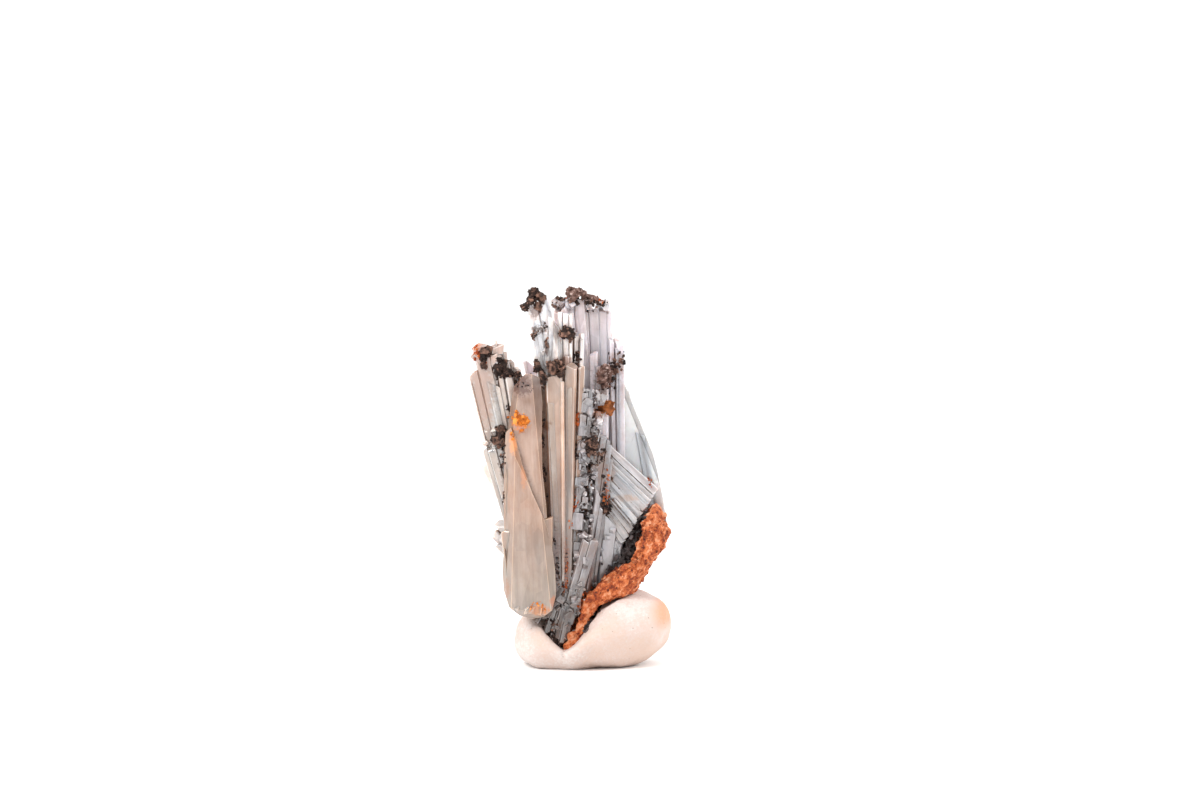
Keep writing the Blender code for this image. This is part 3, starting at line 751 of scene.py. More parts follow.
@dataclass
class Blade:
    """A tabular crystal made of parallel laths that end in steps, narrower towards its root."""

    root: Triple
    tip: Triple
    width: float
    thick: float
    facing: float = 0.0
    laths: int = 2
    step: float = 1.5
    slope: float = 0.0  # how much the tips slope across
    end: Tip = Tip.BROKEN
    ridges: int = 2
    taper: float = 0.8  # width at the root over width at the tip
    sliver: Pair = (-0.06, 0.16)  # how much a single lath narrows towards its end
    spread: float = 0.4  # degrees by which the laths lean apart
    shade: float = 1.0
    shade_range: float = 0.12
    bevels: Triple = (0.02, 0.06, 0.07)  # least width, growth with the lath's size, and most

    def build(self, target: BMesh, rng: Random) -> None:
        """Adds the blade's laths and the narrow ridges on their faces.

        Args:
            target: The group's mesh.
            rng: The group's source of chance.
        """
        root, tip = Vector(self.root), Vector(self.tip)
        length = (tip - root).length
        blade = bmesh.new()
        shares = [rng.uniform(0.6, 1.4) for _ in range(self.laths)]
        longest = rng.randrange(self.laths)
        across = -self.width / 2
        for index, share in enumerate(shares):
            width = self.width * share / sum(shares)
            thick = self.thick * rng.uniform(0.74, 1.06)
            through = self.thick * rng.uniform(-0.14, 0.14)
            shorter = 0.0 if index == longest else rng.uniform(0.15, 1.0) * self.step
            self._stand(blade, (across + width / 2, through, 0.0), (width, thick, length - shorter), rng)
            across += width
        for _ in range(self.ridges):
            width = self.width * rng.uniform(0.1, 0.34)
            start, end = length * rng.uniform(0.0, 0.5), length * rng.uniform(0.6, 0.97)
            thick = self.thick * rng.uniform(0.5, 0.8)
            through = rng.choice((-1.0, 1.0)) * (self.thick * rng.uniform(0.5, 0.6) - thick / 2)
            across = rng.uniform(-0.45, 0.45) * (self.width - width)
            self._stand(blade, (across, through, start), (width, thick, end - start), rng)
        for vertex in blade.verts:
            narrow = self.taper + (1.0 - self.taper) * max(0.0, vertex.co.z) / length
            vertex.co.x *= narrow
            vertex.co.y *= (1.0 + narrow) / 2
        blade.transform(frame_along(root, tip, self.facing))
        append_shape(target, blade)

    def _stand(self, blade: BMesh, foot: Triple, size: Triple, rng: Random) -> None:
        """Stands one lath or ridge in the blade, bevelled, cut at its tip and leaning a little.

        Args:
            blade: The blade's mesh, in its own axes.
            foot: Where the lath starts.
            size: Its size across, through and along.
            rng: The group's source of chance.
        """
        width, thick, length = size
        shape = bmesh.new()
        bmesh.ops.create_cube(shape, size=1.0)
        bmesh.ops.scale(shape, vec=size, verts=shape.verts)
        bmesh.ops.translate(shape, vec=(0.0, 0.0, length / 2), verts=shape.verts)
        for side in (-1, 1):
            for face in (-1, 1):
                inset = rng.uniform(0.12, 0.34)
                corner = (side * width * (0.5 - 0.5 * inset), face * thick / 2, 0.0)
                clip(shape, corner, (side * rng.uniform(0.8, 1.5), face * 0.8, 0.0))
        self._cut_tip(shape, size, rng)
        sliver = rng.uniform(*self.sliver)
        for vertex in shape.verts:
            vertex.co.x *= 1.0 - sliver * vertex.co.z / length
        least, growth, most = self.bevels
        soften_edges(shape, min(most, growth * min(width, thick) + least))
        shade = self.shade * rng.uniform(1.0 - self.shade_range, 1.0 + self.shade_range)
        mark_grain(shape, shade, self.shade_range / 2, rng)
        lean = Matrix.Rotation(math.radians(rng.uniform(-self.spread, self.spread)), 4, "Y")
        shape.transform(Matrix.Translation(foot) @ lean)
        append_shape(blade, shape)

    def _cut_tip(self, shape: BMesh, size: Triple, rng: Random) -> None:
        """Cuts the tip of an upright lath.

        Args:
            shape: The lath.
            size: Its size across, through and along.
            rng: The group's source of chance.
        """
        width, thick, length = size
        if self.end is Tip.SQUARE:
            tilt = (self.slope + rng.uniform(-0.1, 0.1), rng.uniform(-0.25, 0.25), 1.0)
            clip(shape, (-width / 2, 0.0, length), tilt)
            return
        for _ in range(3):
            across, through = rng.uniform(-0.4, 0.4) * width, rng.uniform(-0.4, 0.4) * thick
            point = (across, through, length - rng.uniform(0.0, 0.35) * width)
            clip(shape, point, (self.slope + rng.uniform(-0.8, 0.8), rng.uniform(-0.9, 0.9), 1.0))


@dataclass
class Column:
    """A glassy crystal that grew as a stack of offset blocks."""

    root: Triple
    tip: Triple
    width: float
    thick: float
    facing: float = 0.0
    block: float = 2.4  # mean height of a block
    shade: float = 1.0
    overlap: float = 0.25  # how far each block reaches into the next

    def build(self, target: BMesh, rng: Random) -> None:
        """Adds the blocks, from the foot up.

        Args:
            target: The group's mesh.
            rng: The group's source of chance.
        """
        root, tip = Vector(self.root), Vector(self.tip)
        place = frame_along(root, tip, self.facing)
        length = (tip - root).length
        height = 0.0
        while height < length - 0.3:
            tall = min(self.block * rng.uniform(0.5, 1.6), length - height)
            block = Blade(
                (0, 0, 0), (0, 0, tall + self.overlap), self.width * rng.uniform(0.72, 1.08),
                self.thick * rng.uniform(0.75, 1.1), laths=rng.choice((1, 1, 2)), step=0.7,
                end=rng.choice((Tip.SQUARE, Tip.BROKEN)), ridges=1, taper=1.0, spread=1.5,
                shade=self.shade, shade_range=0.14,
            )
            stack = bmesh.new()
            block.build(stack, rng)
            turn = Matrix.Rotation(math.radians(rng.uniform(-12, 12)), 4, "Z")
            across, through = rng.uniform(-0.1, 0.1) * self.width, rng.uniform(-0.12, 0.12) * self.thick
            stack.transform(place @ Matrix.Translation((across, through, height)) @ turn)
            append_shape(target, stack)
            height += tall


@dataclass
class Plate:
    """A broad tabular crystal cut from an outline in X and Z, with flat facets along its edges."""

    outline: tuple[Pair, ...]
    back: float
    thick: float
    facets: tuple[tuple[Triple, Triple], ...]  # a point on each, and the way it looks
    lean: float = 0.0  # degrees its growth lines lean from upright, towards the right
    shade: float = 1.0
    painted_bevel_shade: float = 0.85  # painted shade on the faces along its edges: how light they are, over its broad faces
    bevel: float = 0.08

    def build(self, target: BMesh, rng: Random) -> None:
        """Adds the plate.

        Args:
            target: The group's mesh.
            rng: The group's source of chance.
        """
        shape = bmesh.new()
        depths = (self.back, self.back - self.thick)
        rings = [[shape.verts.new((x, depth, z)) for x, z in self.outline] for depth in depths]
        for ring in rings:
            shape.faces.new(ring)
        for (one, two), (three, four) in zip(*(pairwise([*ring, ring[0]]) for ring in rings)):
            shape.faces.new((one, two, four, three))
        bmesh.ops.recalc_face_normals(shape, faces=shape.faces)
        for point, outward in self.facets:
            clip(shape, point, outward)
        soften_edges(shape, self.bevel)
        turn = Matrix.Rotation(math.radians(self.lean), 4, "Y")
        shape.transform(turn)
        mark_grain(shape, self.shade, 0.05, rng)
        shape.transform(turn.inverted())
        # the faces along the edges are darkened as painted shade
        tone = shape.faces.layers.float.get("shade")
        shape.normal_update()
        for face in shape.faces:
            if abs(face.normal.y) < BROAD:
                face[tone] *= self.painted_bevel_shade
        append_shape(target, shape)


@dataclass
class Chips:
    """Small equant crystals grown over one another along a line."""

    start: Triple
    end: Triple
    reach: Pair  # how far they spread along X and Y
    count: int
    sizes: Pair = (0.3, 0.9)  # the smallest and the largest
    shade: float = 1.0
    bevel: float = 0.03

    def build(self, target: BMesh, rng: Random) -> None:
        """Adds the chips.

        Args:
            target: The group's mesh.
            rng: The group's source of chance.
        """
        start, end = Vector(self.start), Vector(self.end)
        for _ in range(self.count):
            chip = grain_shape(pick_size(self.sizes, rng), rng)
            soften_edges(chip, self.bevel)
            mark_grain(chip, self.shade * rng.uniform(0.7, 1.2), 0.15, rng)
            spread = Vector((rng.gauss(0, 0.5) * self.reach[0], rng.gauss(0, 0.5) * self.reach[1], 0.0))
            chip.transform(Matrix.Translation(start.lerp(end, rng.random()) + spread))
            append_shape(target, chip)


@dataclass
class CrystalGroup:
    """Crystals that share a finish and stand for all or part of one solid."""

    name: str
    node: str
    slot: str
    finish: Finish
    members: Sequence[Blade | Column | Plate | Chips]
    seed: int

    def build(self) -> Object:
        """Builds the group as one piece.

        Returns:
            The finished piece.
        """
        rng = Random(self.seed)
        target = bmesh.new()
        for member in self.members:
            member.build(target, rng)
        return settle(self.name, target, self.finish, self.slot, self.node)


# ------------------------------------------------------------------ oxide crusts


def solid_copy(node: str, voxel: float) -> BMesh:
    """Copies a solid of the frame as an even mesh of small faces, in millimetres.

    Args:
        node: The solid's name.
        voxel: The size of the faces.

    Returns:
        The remeshed copy.
    """
    joined = bmesh.new()
    joined.from_mesh(bpy.data.objects[node].data)
    joined.transform(Matrix.Scale(1 / MM, 4))
    bmesh.ops.remove_doubles(joined, verts=joined.verts, dist=0.001)
    helper = place_object("helper", into_mesh("helper", joined))
    remesh = helper.modifiers.new("even", "REMESH")
    remesh.mode = "VOXEL"
    remesh.voxel_size = voxel
    shape = bmesh.new()
    shape.from_mesh(helper.evaluated_get(bpy.context.evaluated_depsgraph_get()).to_mesh())
    bpy.data.meshes.remove(helper.data)
    for layer in list(shape.loops.layers.uv):
        shape.loops.layers.uv.remove(layer)
    return shape


def relax(shape: BMesh, rounds: int) -> None:
    """Rounds a shape by moving each vertex towards its neighbours.

    Args:
        shape: The shape.
        rounds: How many times.
    """
    for _ in range(rounds):
        bmesh.ops.smooth_vert(
            shape, verts=shape.verts, factor=0.5, use_axis_x=True, use_axis_y=True, use_axis_z=True
        )


def swell(shape: BMesh, grow: float, octaves: Sequence[Pair], seed: float) -> None:
    """Moves a shape's surface out and roughens it with noise.

    Args:
        shape: The shape.
        grow: How far the whole surface moves out.
        octaves: Each a height and the size of its bumps.
        seed: An offset into the noise.
    """
    shape.normal_update()
    offset = Vector((seed, seed * 2.0, seed * 3.0))
    depth = shape.verts.layers.float.get("depth") or shape.verts.layers.float.new("depth")
    for vertex in shape.verts:
        rise = sum(height * noise.noise(vertex.co / size + offset) for height, size in octaves)
        vertex[depth] = max(0.0, -rise)
        vertex.co += vertex.normal * (grow + rise)


def scatter_points(shape: BMesh, count: int, rng: Random) -> Iterator[Vector]:
    """Picks places on a surface, evenly by area.

    Args:
        shape: The surface.
        count: How many places.
        rng: The source of chance.

    Returns:
        The places.
    """
    faces = list(shape.faces)
    for face in rng.choices(faces, weights=[face.calc_area() for face in faces], k=count):
        corners = [vertex.co for vertex in face.verts[:3]]
        one, two = sorted((rng.random(), rng.random()))
        yield corners[0] * one + corners[1] * (two - one) + corners[2] * (1 - two)


def scatter_grains(target: BMesh, ground: BMesh, count: int, sizes: Pair, rng: Random) -> None:
    """Sets grains down all over a surface.

    Args:
        target: The mesh that takes the grains.
        ground: The surface, which may be the same mesh.
        count: How many grains.
        sizes: The smallest and the largest size.
        rng: The source of chance.
    """
    for point in list(scatter_points(ground, count, rng)):
        add_grain(target, point, pick_size(sizes, rng), rng)


@dataclass
class Crust:
    """A lump of oxide: the solid's own form drawn in, under angular chunks and small grains."""

    node: str
    finish: CrustFinish
    slot: str = "umber_crust"
    chunks: int = 16
    grains: int = 170
    shrink: float = 0.36  # how far the lump under the chunks is drawn in
    chunk_sizes: Pair = (0.45, 1.05)
    grain_sizes: Pair = (0.1, 0.36)
    voxel: float = 0.16
    relief: tuple[Pair, ...] = ((0.5, 0.9), (0.25, 0.35))
    seed: int = 3

    def build(self) -> Object:
        """Builds the lump.

        Returns:
            The finished piece.
        """
        rng = Random(self.seed)
        core = solid_copy(self.node, self.voxel)
        relax(core, 1)
        swell(core, -self.shrink, self.relief, self.seed)
        target = bmesh.new()
        scatter_grains(target, core, self.chunks, self.chunk_sizes, rng)
        scatter_grains(target, target, self.grains, self.grain_sizes, rng)
        tone_faces(core, 0.7, 0.2, rng)
        append_shape(target, core)
        return settle(f"{self.node}_grains", target, self.finish, self.slot, self.node)


@dataclass
class Seam:
    """A line on the front or back along which grains of oxide sit in the crystals' joints."""

    points: tuple[Pair, ...]  # X and Z where the line of sight crosses Y = 0
    width: float
    count: int
    sizes: Pair = (0.14, 0.42)
    tries: int = 4  # the deepest of so many places is kept; a patch on a surface takes the first

    def spot(self, rng: Random) -> Vector:
        """Picks a place near the line.

        Args:
            rng: The source of chance.

        Returns:
            A point in the plane Y = 0.
        """
        index = rng.randrange(len(self.points) - 1)
        spot = Vector(self.points[index]).lerp(Vector(self.points[index + 1]), rng.random())
        return Vector((spot.x + rng.gauss(0, self.width), 0.0, spot.y + rng.gauss(0, self.width)))


@dataclass
class SeamGrains:
    """All the grains of one kind of oxide that lie along seams, set down on the crystals."""

    name: str
    slot: str
    finish: CrustFinish
    seams: Sequence[Seam]
    seed: int
    behind: bool = False

    def build(self, ground: BVHTree) -> Object:
        """Drops the grains onto the crystals along the line of sight.

        Args:
            ground: The crystals' surfaces, in millimetres.

        Returns:
            The finished piece.
        """
        rng = Random(self.seed)
        sight = Vector((0.0, math.cos(VIEW_TILT), -math.sin(VIEW_TILT)))
        if self.behind:
            sight = Vector((0.0, -1.0, 0.0))
        target = bmesh.new()
        for seam in self.seams:
            for _ in range(seam.count):
                hits = [ground.ray_cast(seam.spot(rng) - sight * FAR, sight) for _ in range(seam.tries)]
                found = [(hit, normal) for hit, normal, _, _ in hits if hit is not None]
                if found:
                    hit, normal = max(found, key=lambda item: item[0].dot(sight))
                    size = pick_size(seam.sizes, rng)
                    add_grain(target, hit + normal * size * rng.uniform(-0.1, 0.2), size, rng)
        return settle(self.name, target, self.finish, self.slot)


# ------------------------------------------------------------------ matrix and putty


@dataclass
class LimoniteRind:
    """The iron-oxide matrix: a broken rind with ledges and pits, from the solid's own form."""

    node: str = "limonite_matrix"
    voxel: float = 0.24
    closing: float = 0.28  # takes up the gap the solids keep between them
    relief: tuple[Pair, ...] = ((0.5, 2.4), (0.5, 0.9), (0.2, 0.4))
    sides: tuple[Triple, ...] = (  # a height, and how far left and right the band goes
        (4.8, -9.0, 0.1), (6.6, -0.1, 0.9), (8.0, 0.6, 1.8), (9.6, 1.0, 3.5), (10.7, 1.6, 7.2),
        (12.7, 3.5, 8.9), (13.5, 4.6, 9.3), (13.9, 6.8, 9.5), (14.2, 7.4, 9.7), (15.5, 7.9, 10.2),
        (18.4, 8.5, 12.1), (19.3, 8.7, 10.9), (30.0, 9.5, 10.8),
    )
    crumbs: int = 420
    crumb_sizes: Pair = (0.12, 0.55)
    seed: int = 12

    def build(self) -> Object:
        """Builds the rind.

        Returns:
            The finished piece.
        """
        rng = Random(self.seed)
        shape = solid_copy(self.node, self.voxel)
        relax(shape, 1)
        for (low, *below), (high, *above) in pairwise(self.sides):
            for vertex in shape.verts:
                share = (vertex.co.z - low) / (high - low)
                if 0.0 <= share < 1.0:
                    left, right = (start + (end - start) * share for start, end in zip(below, above))
                    vertex.co.x = min(max(vertex.co.x, left), right)
        swell(shape, self.closing, self.relief, 7.0)
        crumbs = bmesh.new()
        scatter_grains(crumbs, shape, self.crumbs, self.crumb_sizes, rng)
        tone_faces(shape, 0.85, 0.1, rng)
        append_shape(shape, crumbs)
        return settle("limonite_rind", shape, LimoniteFinish(), "limonite", self.node)


@dataclass
class PuttyLump:
    """The pressed lump, smoothed and dented, with a flat foot."""

    node: str = "putty_rest"
    voxel: float = 0.3
    rounds: int = 14
    closing: float = 0.3
    dents: tuple[Pair, ...] = ((0.35, 5.0), (0.1, 1.6), (0.03, 0.5))

    def build(self) -> Object:
        """Builds the lump.

        Returns:
            The finished piece.
        """
        shape = solid_copy(self.node, self.voxel)
        relax(shape, self.rounds)
        swell(shape, self.closing, self.dents, 3.0)
        for vertex in shape.verts:
            vertex.co.z = max(vertex.co.z, 0.0)
        for face in shape.faces:
            face.smooth = True
        return settle("putty_lump", shape, PuttyFinish(), "putty", self.node)


# ------------------------------------------------------------------ the specimen

HONEY = CrystalFinish(
    # its rim colour is a painted orange highlight along the bevels
    name="honey_barite", veil="#dccdc2", veil_amount=0.35, streak_contrast=0.07, painted_rim="#f2cdac",
    painted_rim_amount=0.45, dirt_and_shade="#7d4f38", dirt_and_shade_amount=0.5, dust_amount=0.2,
    tints=(
        (7.0, "#96867c"), (11.0, "#9e8b7b"), (16.0, "#9b8271"), (24.0, "#a37b61"), (31.0, "#a67d64"),
        (36.0, "#927362"), (40.0, "#846458"),
    ),
    stains=(
        Stain((-8.0, -6.5, 33.6), (1.5, 1.6, 1.7), "#e07a16"),
        Stain((-8.0, -6.0, 38.7), (1.9, 2.5, 1.8), "#5b3425", 0.85),
        Stain((-8.9, -6.4, 30.8), (0.75, 1.6, 1.7), "#dc9560", 0.85),
        Stain((-7.4, -6.9, 27.0), (0.5, 1.0, 2.6), "#cf8a5e", 0.55),
        Stain((-5.4, -6.9, 8.4), (1.5, 1.4, 0.9), "#cf8048", 0.8),
        Stain((-3.6, -6.2, 9.6), (0.5, 1.4, 1.0), "#b87550", 0.8),
        Stain((-9.6, -5.6, 11.2), (0.5, 1.6, 1.6), "#a06c4c", 0.6),
    ),
)
"""The honey-brown barite of the large front crystal and the laths beside it."""

LATH_HONEY = CrystalFinish(
    name="honey_lath_barite", veil="#e9ddd4", veil_amount=0.3, dirt_and_shade="#6f5344", dirt_and_shade_amount=0.5,
    tints=(
        (9.0, "#736460"), (16.0, "#7b675d"), (24.0, "#9d7d6b"), (31.0, "#b0876e"), (38.0, "#b4937e"),
        (42.0, "#a88f80"),
    ),
    stains=(
        Stain((-4.4, -4.0, 33.0), (0.8, 1.2, 0.9), "#7a4c34", 0.6),
        Stain((-4.9, -4.4, 27.3), (0.5, 1.2, 1.5), "#4c2c22", 0.9),
        Stain((-0.3, -3.4, 33.4), (0.5, 1.2, 1.3), "#b06a3c", 0.8),
        Stain((-0.4, -3.4, 29.5), (0.4, 1.2, 1.6), "#4b3228", 0.8),
        Stain((-3.2, -4.0, 15.0), (0.6, 1.2, 6.0), "#6a4030", 0.8),
        Stain((-1.8, -3.8, 14.5), (0.5, 1.2, 4.0), "#8f4f2c", 0.8),
    ),
)
"""Honey barite that turns grey towards the foot."""

SILKY = CrystalFinish(
    name="silky_barite",
    tints=((9.0, "#8d807a"), (30.0, "#bdaea3"), (40.0, "#decdc6"), (44.0, "#f2e3df"), (51.0, "#f0e1e0")),
    veil="#f5eeed", veil_amount=0.5, dirt_and_shade="#7a5c4e", dirt_and_shade_amount=0.5, growth_contrast=0.16, streak_width=0.6,
    streak_contrast=0.16, dust_amount=0.4,
    stains=(
        Stain((-5.5, -3.2, 45.8), (1.5, 1.4, 0.7), "#54362a", 0.9),
        Stain((-5.9, -3.2, 48.4), (0.9, 1.4, 1.4), "#6f4c3e", 0.8),
        Stain((-4.4, -3.2, 43.4), (0.5, 1.4, 1.2), "#4b2f26", 0.8),
        Stain((-2.0, -2.6, 41.6), (1.8, 1.4, 0.9), "#8a5a42", 0.7),
    ),
)
"""The tall frayed blades in the middle."""

GLASSY = CrystalFinish(
    name="glassy_grey_barite", veil="#ece9ec", veil_amount=0.35, veil_size=1.2, clarity=0.25, milk=0.45,
    roughness=0.12, growth_contrast=0.1, streak_width=0.7, streak_contrast=0.12,
    painted_rim_amount=0.2, dirt_and_shade="#4e362c", dirt_and_shade_amount=0.75, dust_amount=0.45,
    tints=(
        (2.0, "#6c5f5a"), (10.0, "#786c67"), (16.0, "#837878"), (24.0, "#8d8587"), (30.0, "#979093"),
        (35.0, "#a9a2a3"), (40.0, "#b2a9a8"),
    ),
    stains=(
        Stain((1.6, -3.2, 31.6), (1.2, 1.6, 3.2), "#3f2c25", 0.75),
        Stain((2.2, -2.6, 28.4), (0.9, 1.6, 1.8), "#4b3626", 0.75),
        Stain((2.6, -2.6, 34.6), (1.2, 1.6, 1.0), "#914f26", 0.8),
        Stain((3.0, -2.0, 26.6), (0.95, 1.8, 4.6), "#8c6552", 0.65),
        Stain((3.3, -2.0, 21.9), (0.5, 1.6, 1.0), "#281a15", 0.9),
        Stain((0.3, -3.6, 8.6), (0.7, 1.6, 1.2), "#a4592c", 0.7),
    ),
)
"""The block-built columns, their dark seams and the crystals at the foot."""

GREY = CrystalFinish(
    name="grey_barite", tints=((8.0, "#a8a1a2"), (14.0, "#c6c0c3"), (20.0, "#d6d1d4"), (26.0, "#d6d2d5")),
    veil="#e6e6ea", veil_amount=0.35, veil_size=0.9, streak_contrast=0.08, painted_rim_amount=0.15, dirt_and_shade="#554640",
    dirt_and_shade_amount=0.4,
    stains=(
        Stain((1.8, -0.8, 10.6), (2.4, 1.6, 0.9), "#6f4a36", 0.7),
        Stain((6.6, -0.6, 15.2), (1.7, 3.0, 4.2), "#2b2322", 0.85),
    ),
)
"""The dark grey crystalline mass behind the columns."""

MAUVE = CrystalFinish(
    name="mauve_barite",
    tints=((10.0, "#9a9294"), (24.0, "#b8b0b4"), (36.0, "#cfc5ca"), (44.0, "#d4c8ce"), (50.0, "#c9b8b6")),
    veil="#f0ecef", veil_amount=0.35, streak_width=0.8, streak_contrast=0.08, painted_rim_amount=0.2, dirt_and_shade="#9c8680",
    dirt_and_shade_amount=0.3, dust="#9a7365", dust_amount=0.35,
    stains=(
        Stain((3.6, 0.4, 38.4), (2.2, 2.6, 3.2), "#75564a", 0.7),
        Stain((5.0, 3.0, 40.6), (1.2, 2.4, 2.4), "#8a6a5c", 0.5),
        Stain((2.0, 3.2, 50.0), (2.8, 2.6, 1.1), "#8f5846", 0.8),
        Stain((4.9, 3.2, 44.6), (0.8, 2.0, 0.9), "#b4816a", 0.6),
        Stain((3.4, 0.6, 35.0), (1.4, 2.2, 1.4), "#944f28", 0.6),
    ),
)
"""The cool grey cluster behind."""

PALE = CrystalFinish(
    name="pale_barite", veil="#f3efec", streak_width=0.8, streak_contrast=0.12,
    dirt_and_shade="#6b4c40", dirt_and_shade_amount=0.5,
    tints=(
        (10.0, "#b4a8a4"), (17.0, "#bbafaa"), (26.0, "#c4b5ab"), (34.0, "#cfbcaf"), (40.0, "#dfccc2"),
        (44.0, "#bb917f"),
    ),
    stains=(
        Stain((-13.0, -3.2, 38.0), (2.1, 2.5, 7.5), "#a78474", 0.7),
        Stain((-13.9, -3.0, 43.4), (1.0, 1.8, 1.6), "#c47a58", 0.85),
        Stain((-9.9, -3.2, 27.4), (0.9, 1.6, 3.0), "#4f403b", 0.8),
    ),
)
"""The pale blades that fan out on the left."""

CLEAR = CrystalFinish(
    name="clear_barite", tints=((16.0, "#dddbde"), (22.0, "#f7f6fa"), (32.0, "#fffeff"), (40.0, "#f4eeec")),
    veil="#ffffff", veil_amount=0.35, clarity=0.3, milk=0.7, milk_depth=1.6, roughness=0.3, haze="#e6e5ee",
    absorption=0.02, growth_contrast=0.03, block_contrast=0.02, streak_width=2.2, streak_contrast=0.02,
    # a grey rim colour: painted shade along the plate's bevelled edges
    painted_rim="#a39d9d", painted_rim_amount=0.6, dirt_and_shade="#a08a7e", dirt_and_shade_amount=0.3, dust_amount=0.1,
    stains=(
        Stain((9.3, 3.0, 24.8), (0.7, 2.0, 0.8), "#a98468", 0.6),
        Stain((10.9, 3.6, 22.6), (1.1, 2.4, 3.0), "#b3a6a2", 0.6),
        Stain((11.7, 3.6, 18.9), (0.7, 2.4, 1.3), "#857870", 0.7),
    ),
)
"""The broad see-through plate on the right."""

STRIATED = CrystalFinish(
    name="striated_barite",
    tints=((14.0, "#c6b8b2"), (20.0, "#bdb0ab"), (26.0, "#a89fa0"), (31.0, "#9e9594")), veil="#e9eaed",
    growth_contrast=0.16, growth_relief=0.3, streak_width=0.5, streak_contrast=0.16, dirt_and_shade="#7a5a48",
    dirt_and_shade_amount=0.9, dust="#8b949d", dust_amount=0.55,
    stains=(
        Stain((4.2, 0.2, 26.4), (0.9, 2.0, 1.6), "#a87f68", 0.5),
        Stain((6.4, -0.2, 22.8), (1.8, 2.0, 0.6), "#c39a80", 0.5),
    ),
)
"""The parallel striated laths that lean up to the left."""

OUTLINE_FRONT = (
    (-9.9, 32.2), (-9.2, 32.9), (-8.6, 31.6), (-7.7, 28.1), (-6.3, 24.1), (-5.1, 21.5),
    (-4.4, 19.6), (-3.7, 16.7), (-3.3, 13.6), (-3.2, 10.4), (-3.7, 8.5), (-4.9, 7.5),
    (-6.5, 7.1), (-8.1, 7.6), (-9.5, 8.9), (-10.2, 11.0), (-10.4, 13.8), (-10.1, 17.2),
    (-10.2, 23.0), (-10.1, 28.4),
)
OUTLINE_BEHIND = (
    (-9.8, 30.5), (-9.3, 35.2), (-8.8, 38.3), (-7.8, 39.5), (-6.8, 40.6), (-6.2, 40.6), (-5.3, 39.6),
    (-5.0, 36.2), (-5.1, 31.8), (-5.0, 27.1), (-4.5, 22.3), (-4.2, 17.6), (-5.2, 13.0),
    (-8.1, 12.0), (-9.7, 16.6), (-9.9, 24.0),
)
OUTLINE_CENTRE = (
    (-6.2, 41.4), (-6.3, 46.8), (-5.6, 48.9), (-4.8, 50.1), (-4.2, 49.9), (-3.7, 47.6), (-2.9, 44.8),
    (-2.8, 40.4), (-3.9, 41.6), (-5.1, 40.2),
)
OUTLINE_RIGHT = (
    (3.7, 33.0), (4.3, 38.4), (5.7, 40.0), (6.8, 37.3), (8.1, 33.9), (9.5, 30.2),
    (10.5, 26.2), (11.3, 22.3), (11.9, 18.6), (11.7, 17.0), (10.2, 16.9), (8.1, 20.2),
    (5.7, 24.4), (4.0, 28.4),
)

FRONT_MEMBERS = (
    Plate(OUTLINE_FRONT, -4.5, 2.3, (
        ((-9.0, -6.8, 15.0), (-0.75, -0.66, 0.02)),
        ((-4.5, -6.8, 15.0), (0.60, -0.80, 0.06)),
        ((-6.5, -6.8, 8.2), (-0.15, -0.62, -0.77)),
        ((-8.3, -6.8, 28.4), (0.46, -0.86, 0.22)),
        ((-9.4, -4.5, 15.0), (-0.60, 0.80, 0.0)),
    ), lean=2.0),
    Plate(OUTLINE_BEHIND, -3.7, 2.0, (
        ((-8.7, -5.7, 34.0), (-0.72, -0.69, 0.10)),
        ((-5.9, -5.7, 34.0), (0.58, -0.81, 0.05)),
        ((-7.0, -5.7, 40.1), (-0.20, -0.45, 0.87)),
        ((-7.0, -3.7, 38.6), (0.0, 0.60, 0.80)),
    ), lean=2.0, shade=0.97),
    Blade((-4.4, -4.9, 9.6), (-4.5, -5.2, 21.0), 1.8, 1.6, 28, 1, 2.5, ridges=1),
    Blade((-8.8, -5.2, 9.7), (-9.8, -5.4, 19.5), 1.7, 1.5, -24, 1, 2.5, ridges=1),
    Blade((-6.5, -5.2, 8.3), (-7.2, -5.3, 15.5), 4.2, 1.9, 0, 2, 2.0, ridges=0),
    Chips((-8.4, -6.2, 8.7), (-4.6, -6.2, 8.3), (0.4, 0.6), 26),
)
CENTRE_MEMBERS = (
    Plate(OUTLINE_CENTRE, -2.1, 1.1, (
        ((-5.7, -3.2, 46.0), (-0.55, -0.82, 0.12)),
        ((-3.9, -3.2, 46.0), (0.62, -0.76, 0.18)),
    ), lean=-10.0, shade=1.02),
    Blade((-4.8, -3.0, 40.4), (-5.4, -3.2, 46.4), 0.8, 0.5, -10, 1, ridges=0, shade=0.94),
    Blade((-3.8, -3.0, 40.4), (-3.9, -3.2, 47.6), 0.7, 0.5, 12, 1, ridges=0),
    Chips((-5.5, -3.0, 47.4), (-4.4, -3.2, 42.6), (0.7, 0.4), 16, (0.3, 0.8)),
    Blade((-2.6, -0.9, 9.0), (-5.2, -2.3, 50.0), 2.5, 1.9, 8, 3, 3.6, 0.5),
    Blade((-2.0, -1.1, 9.0), (-3.8, -1.9, 47.0), 1.9, 1.5, 24, 3, 1.4, 1.0, shade=1.12),
    Blade((-4.9, -2.4, 42.0), (-6.4, -2.9, 49.6), 1.5, 1.3, -8, 1, 1.0, 0.4, ridges=1, taper=1.2),
    Blade((-1.6, -1.0, 9.0), (-1.8, -1.5, 48.1), 1.9, 1.7, -6, 3, 0.6, 0.1, Tip.SQUARE, shade=1.14),
    Blade((-1.2, -0.6, 9.0), (-0.1, -0.9, 45.2), 1.6, 1.6, 18, 3, 1.2, 0.1, Tip.SQUARE, shade=1.1),
)
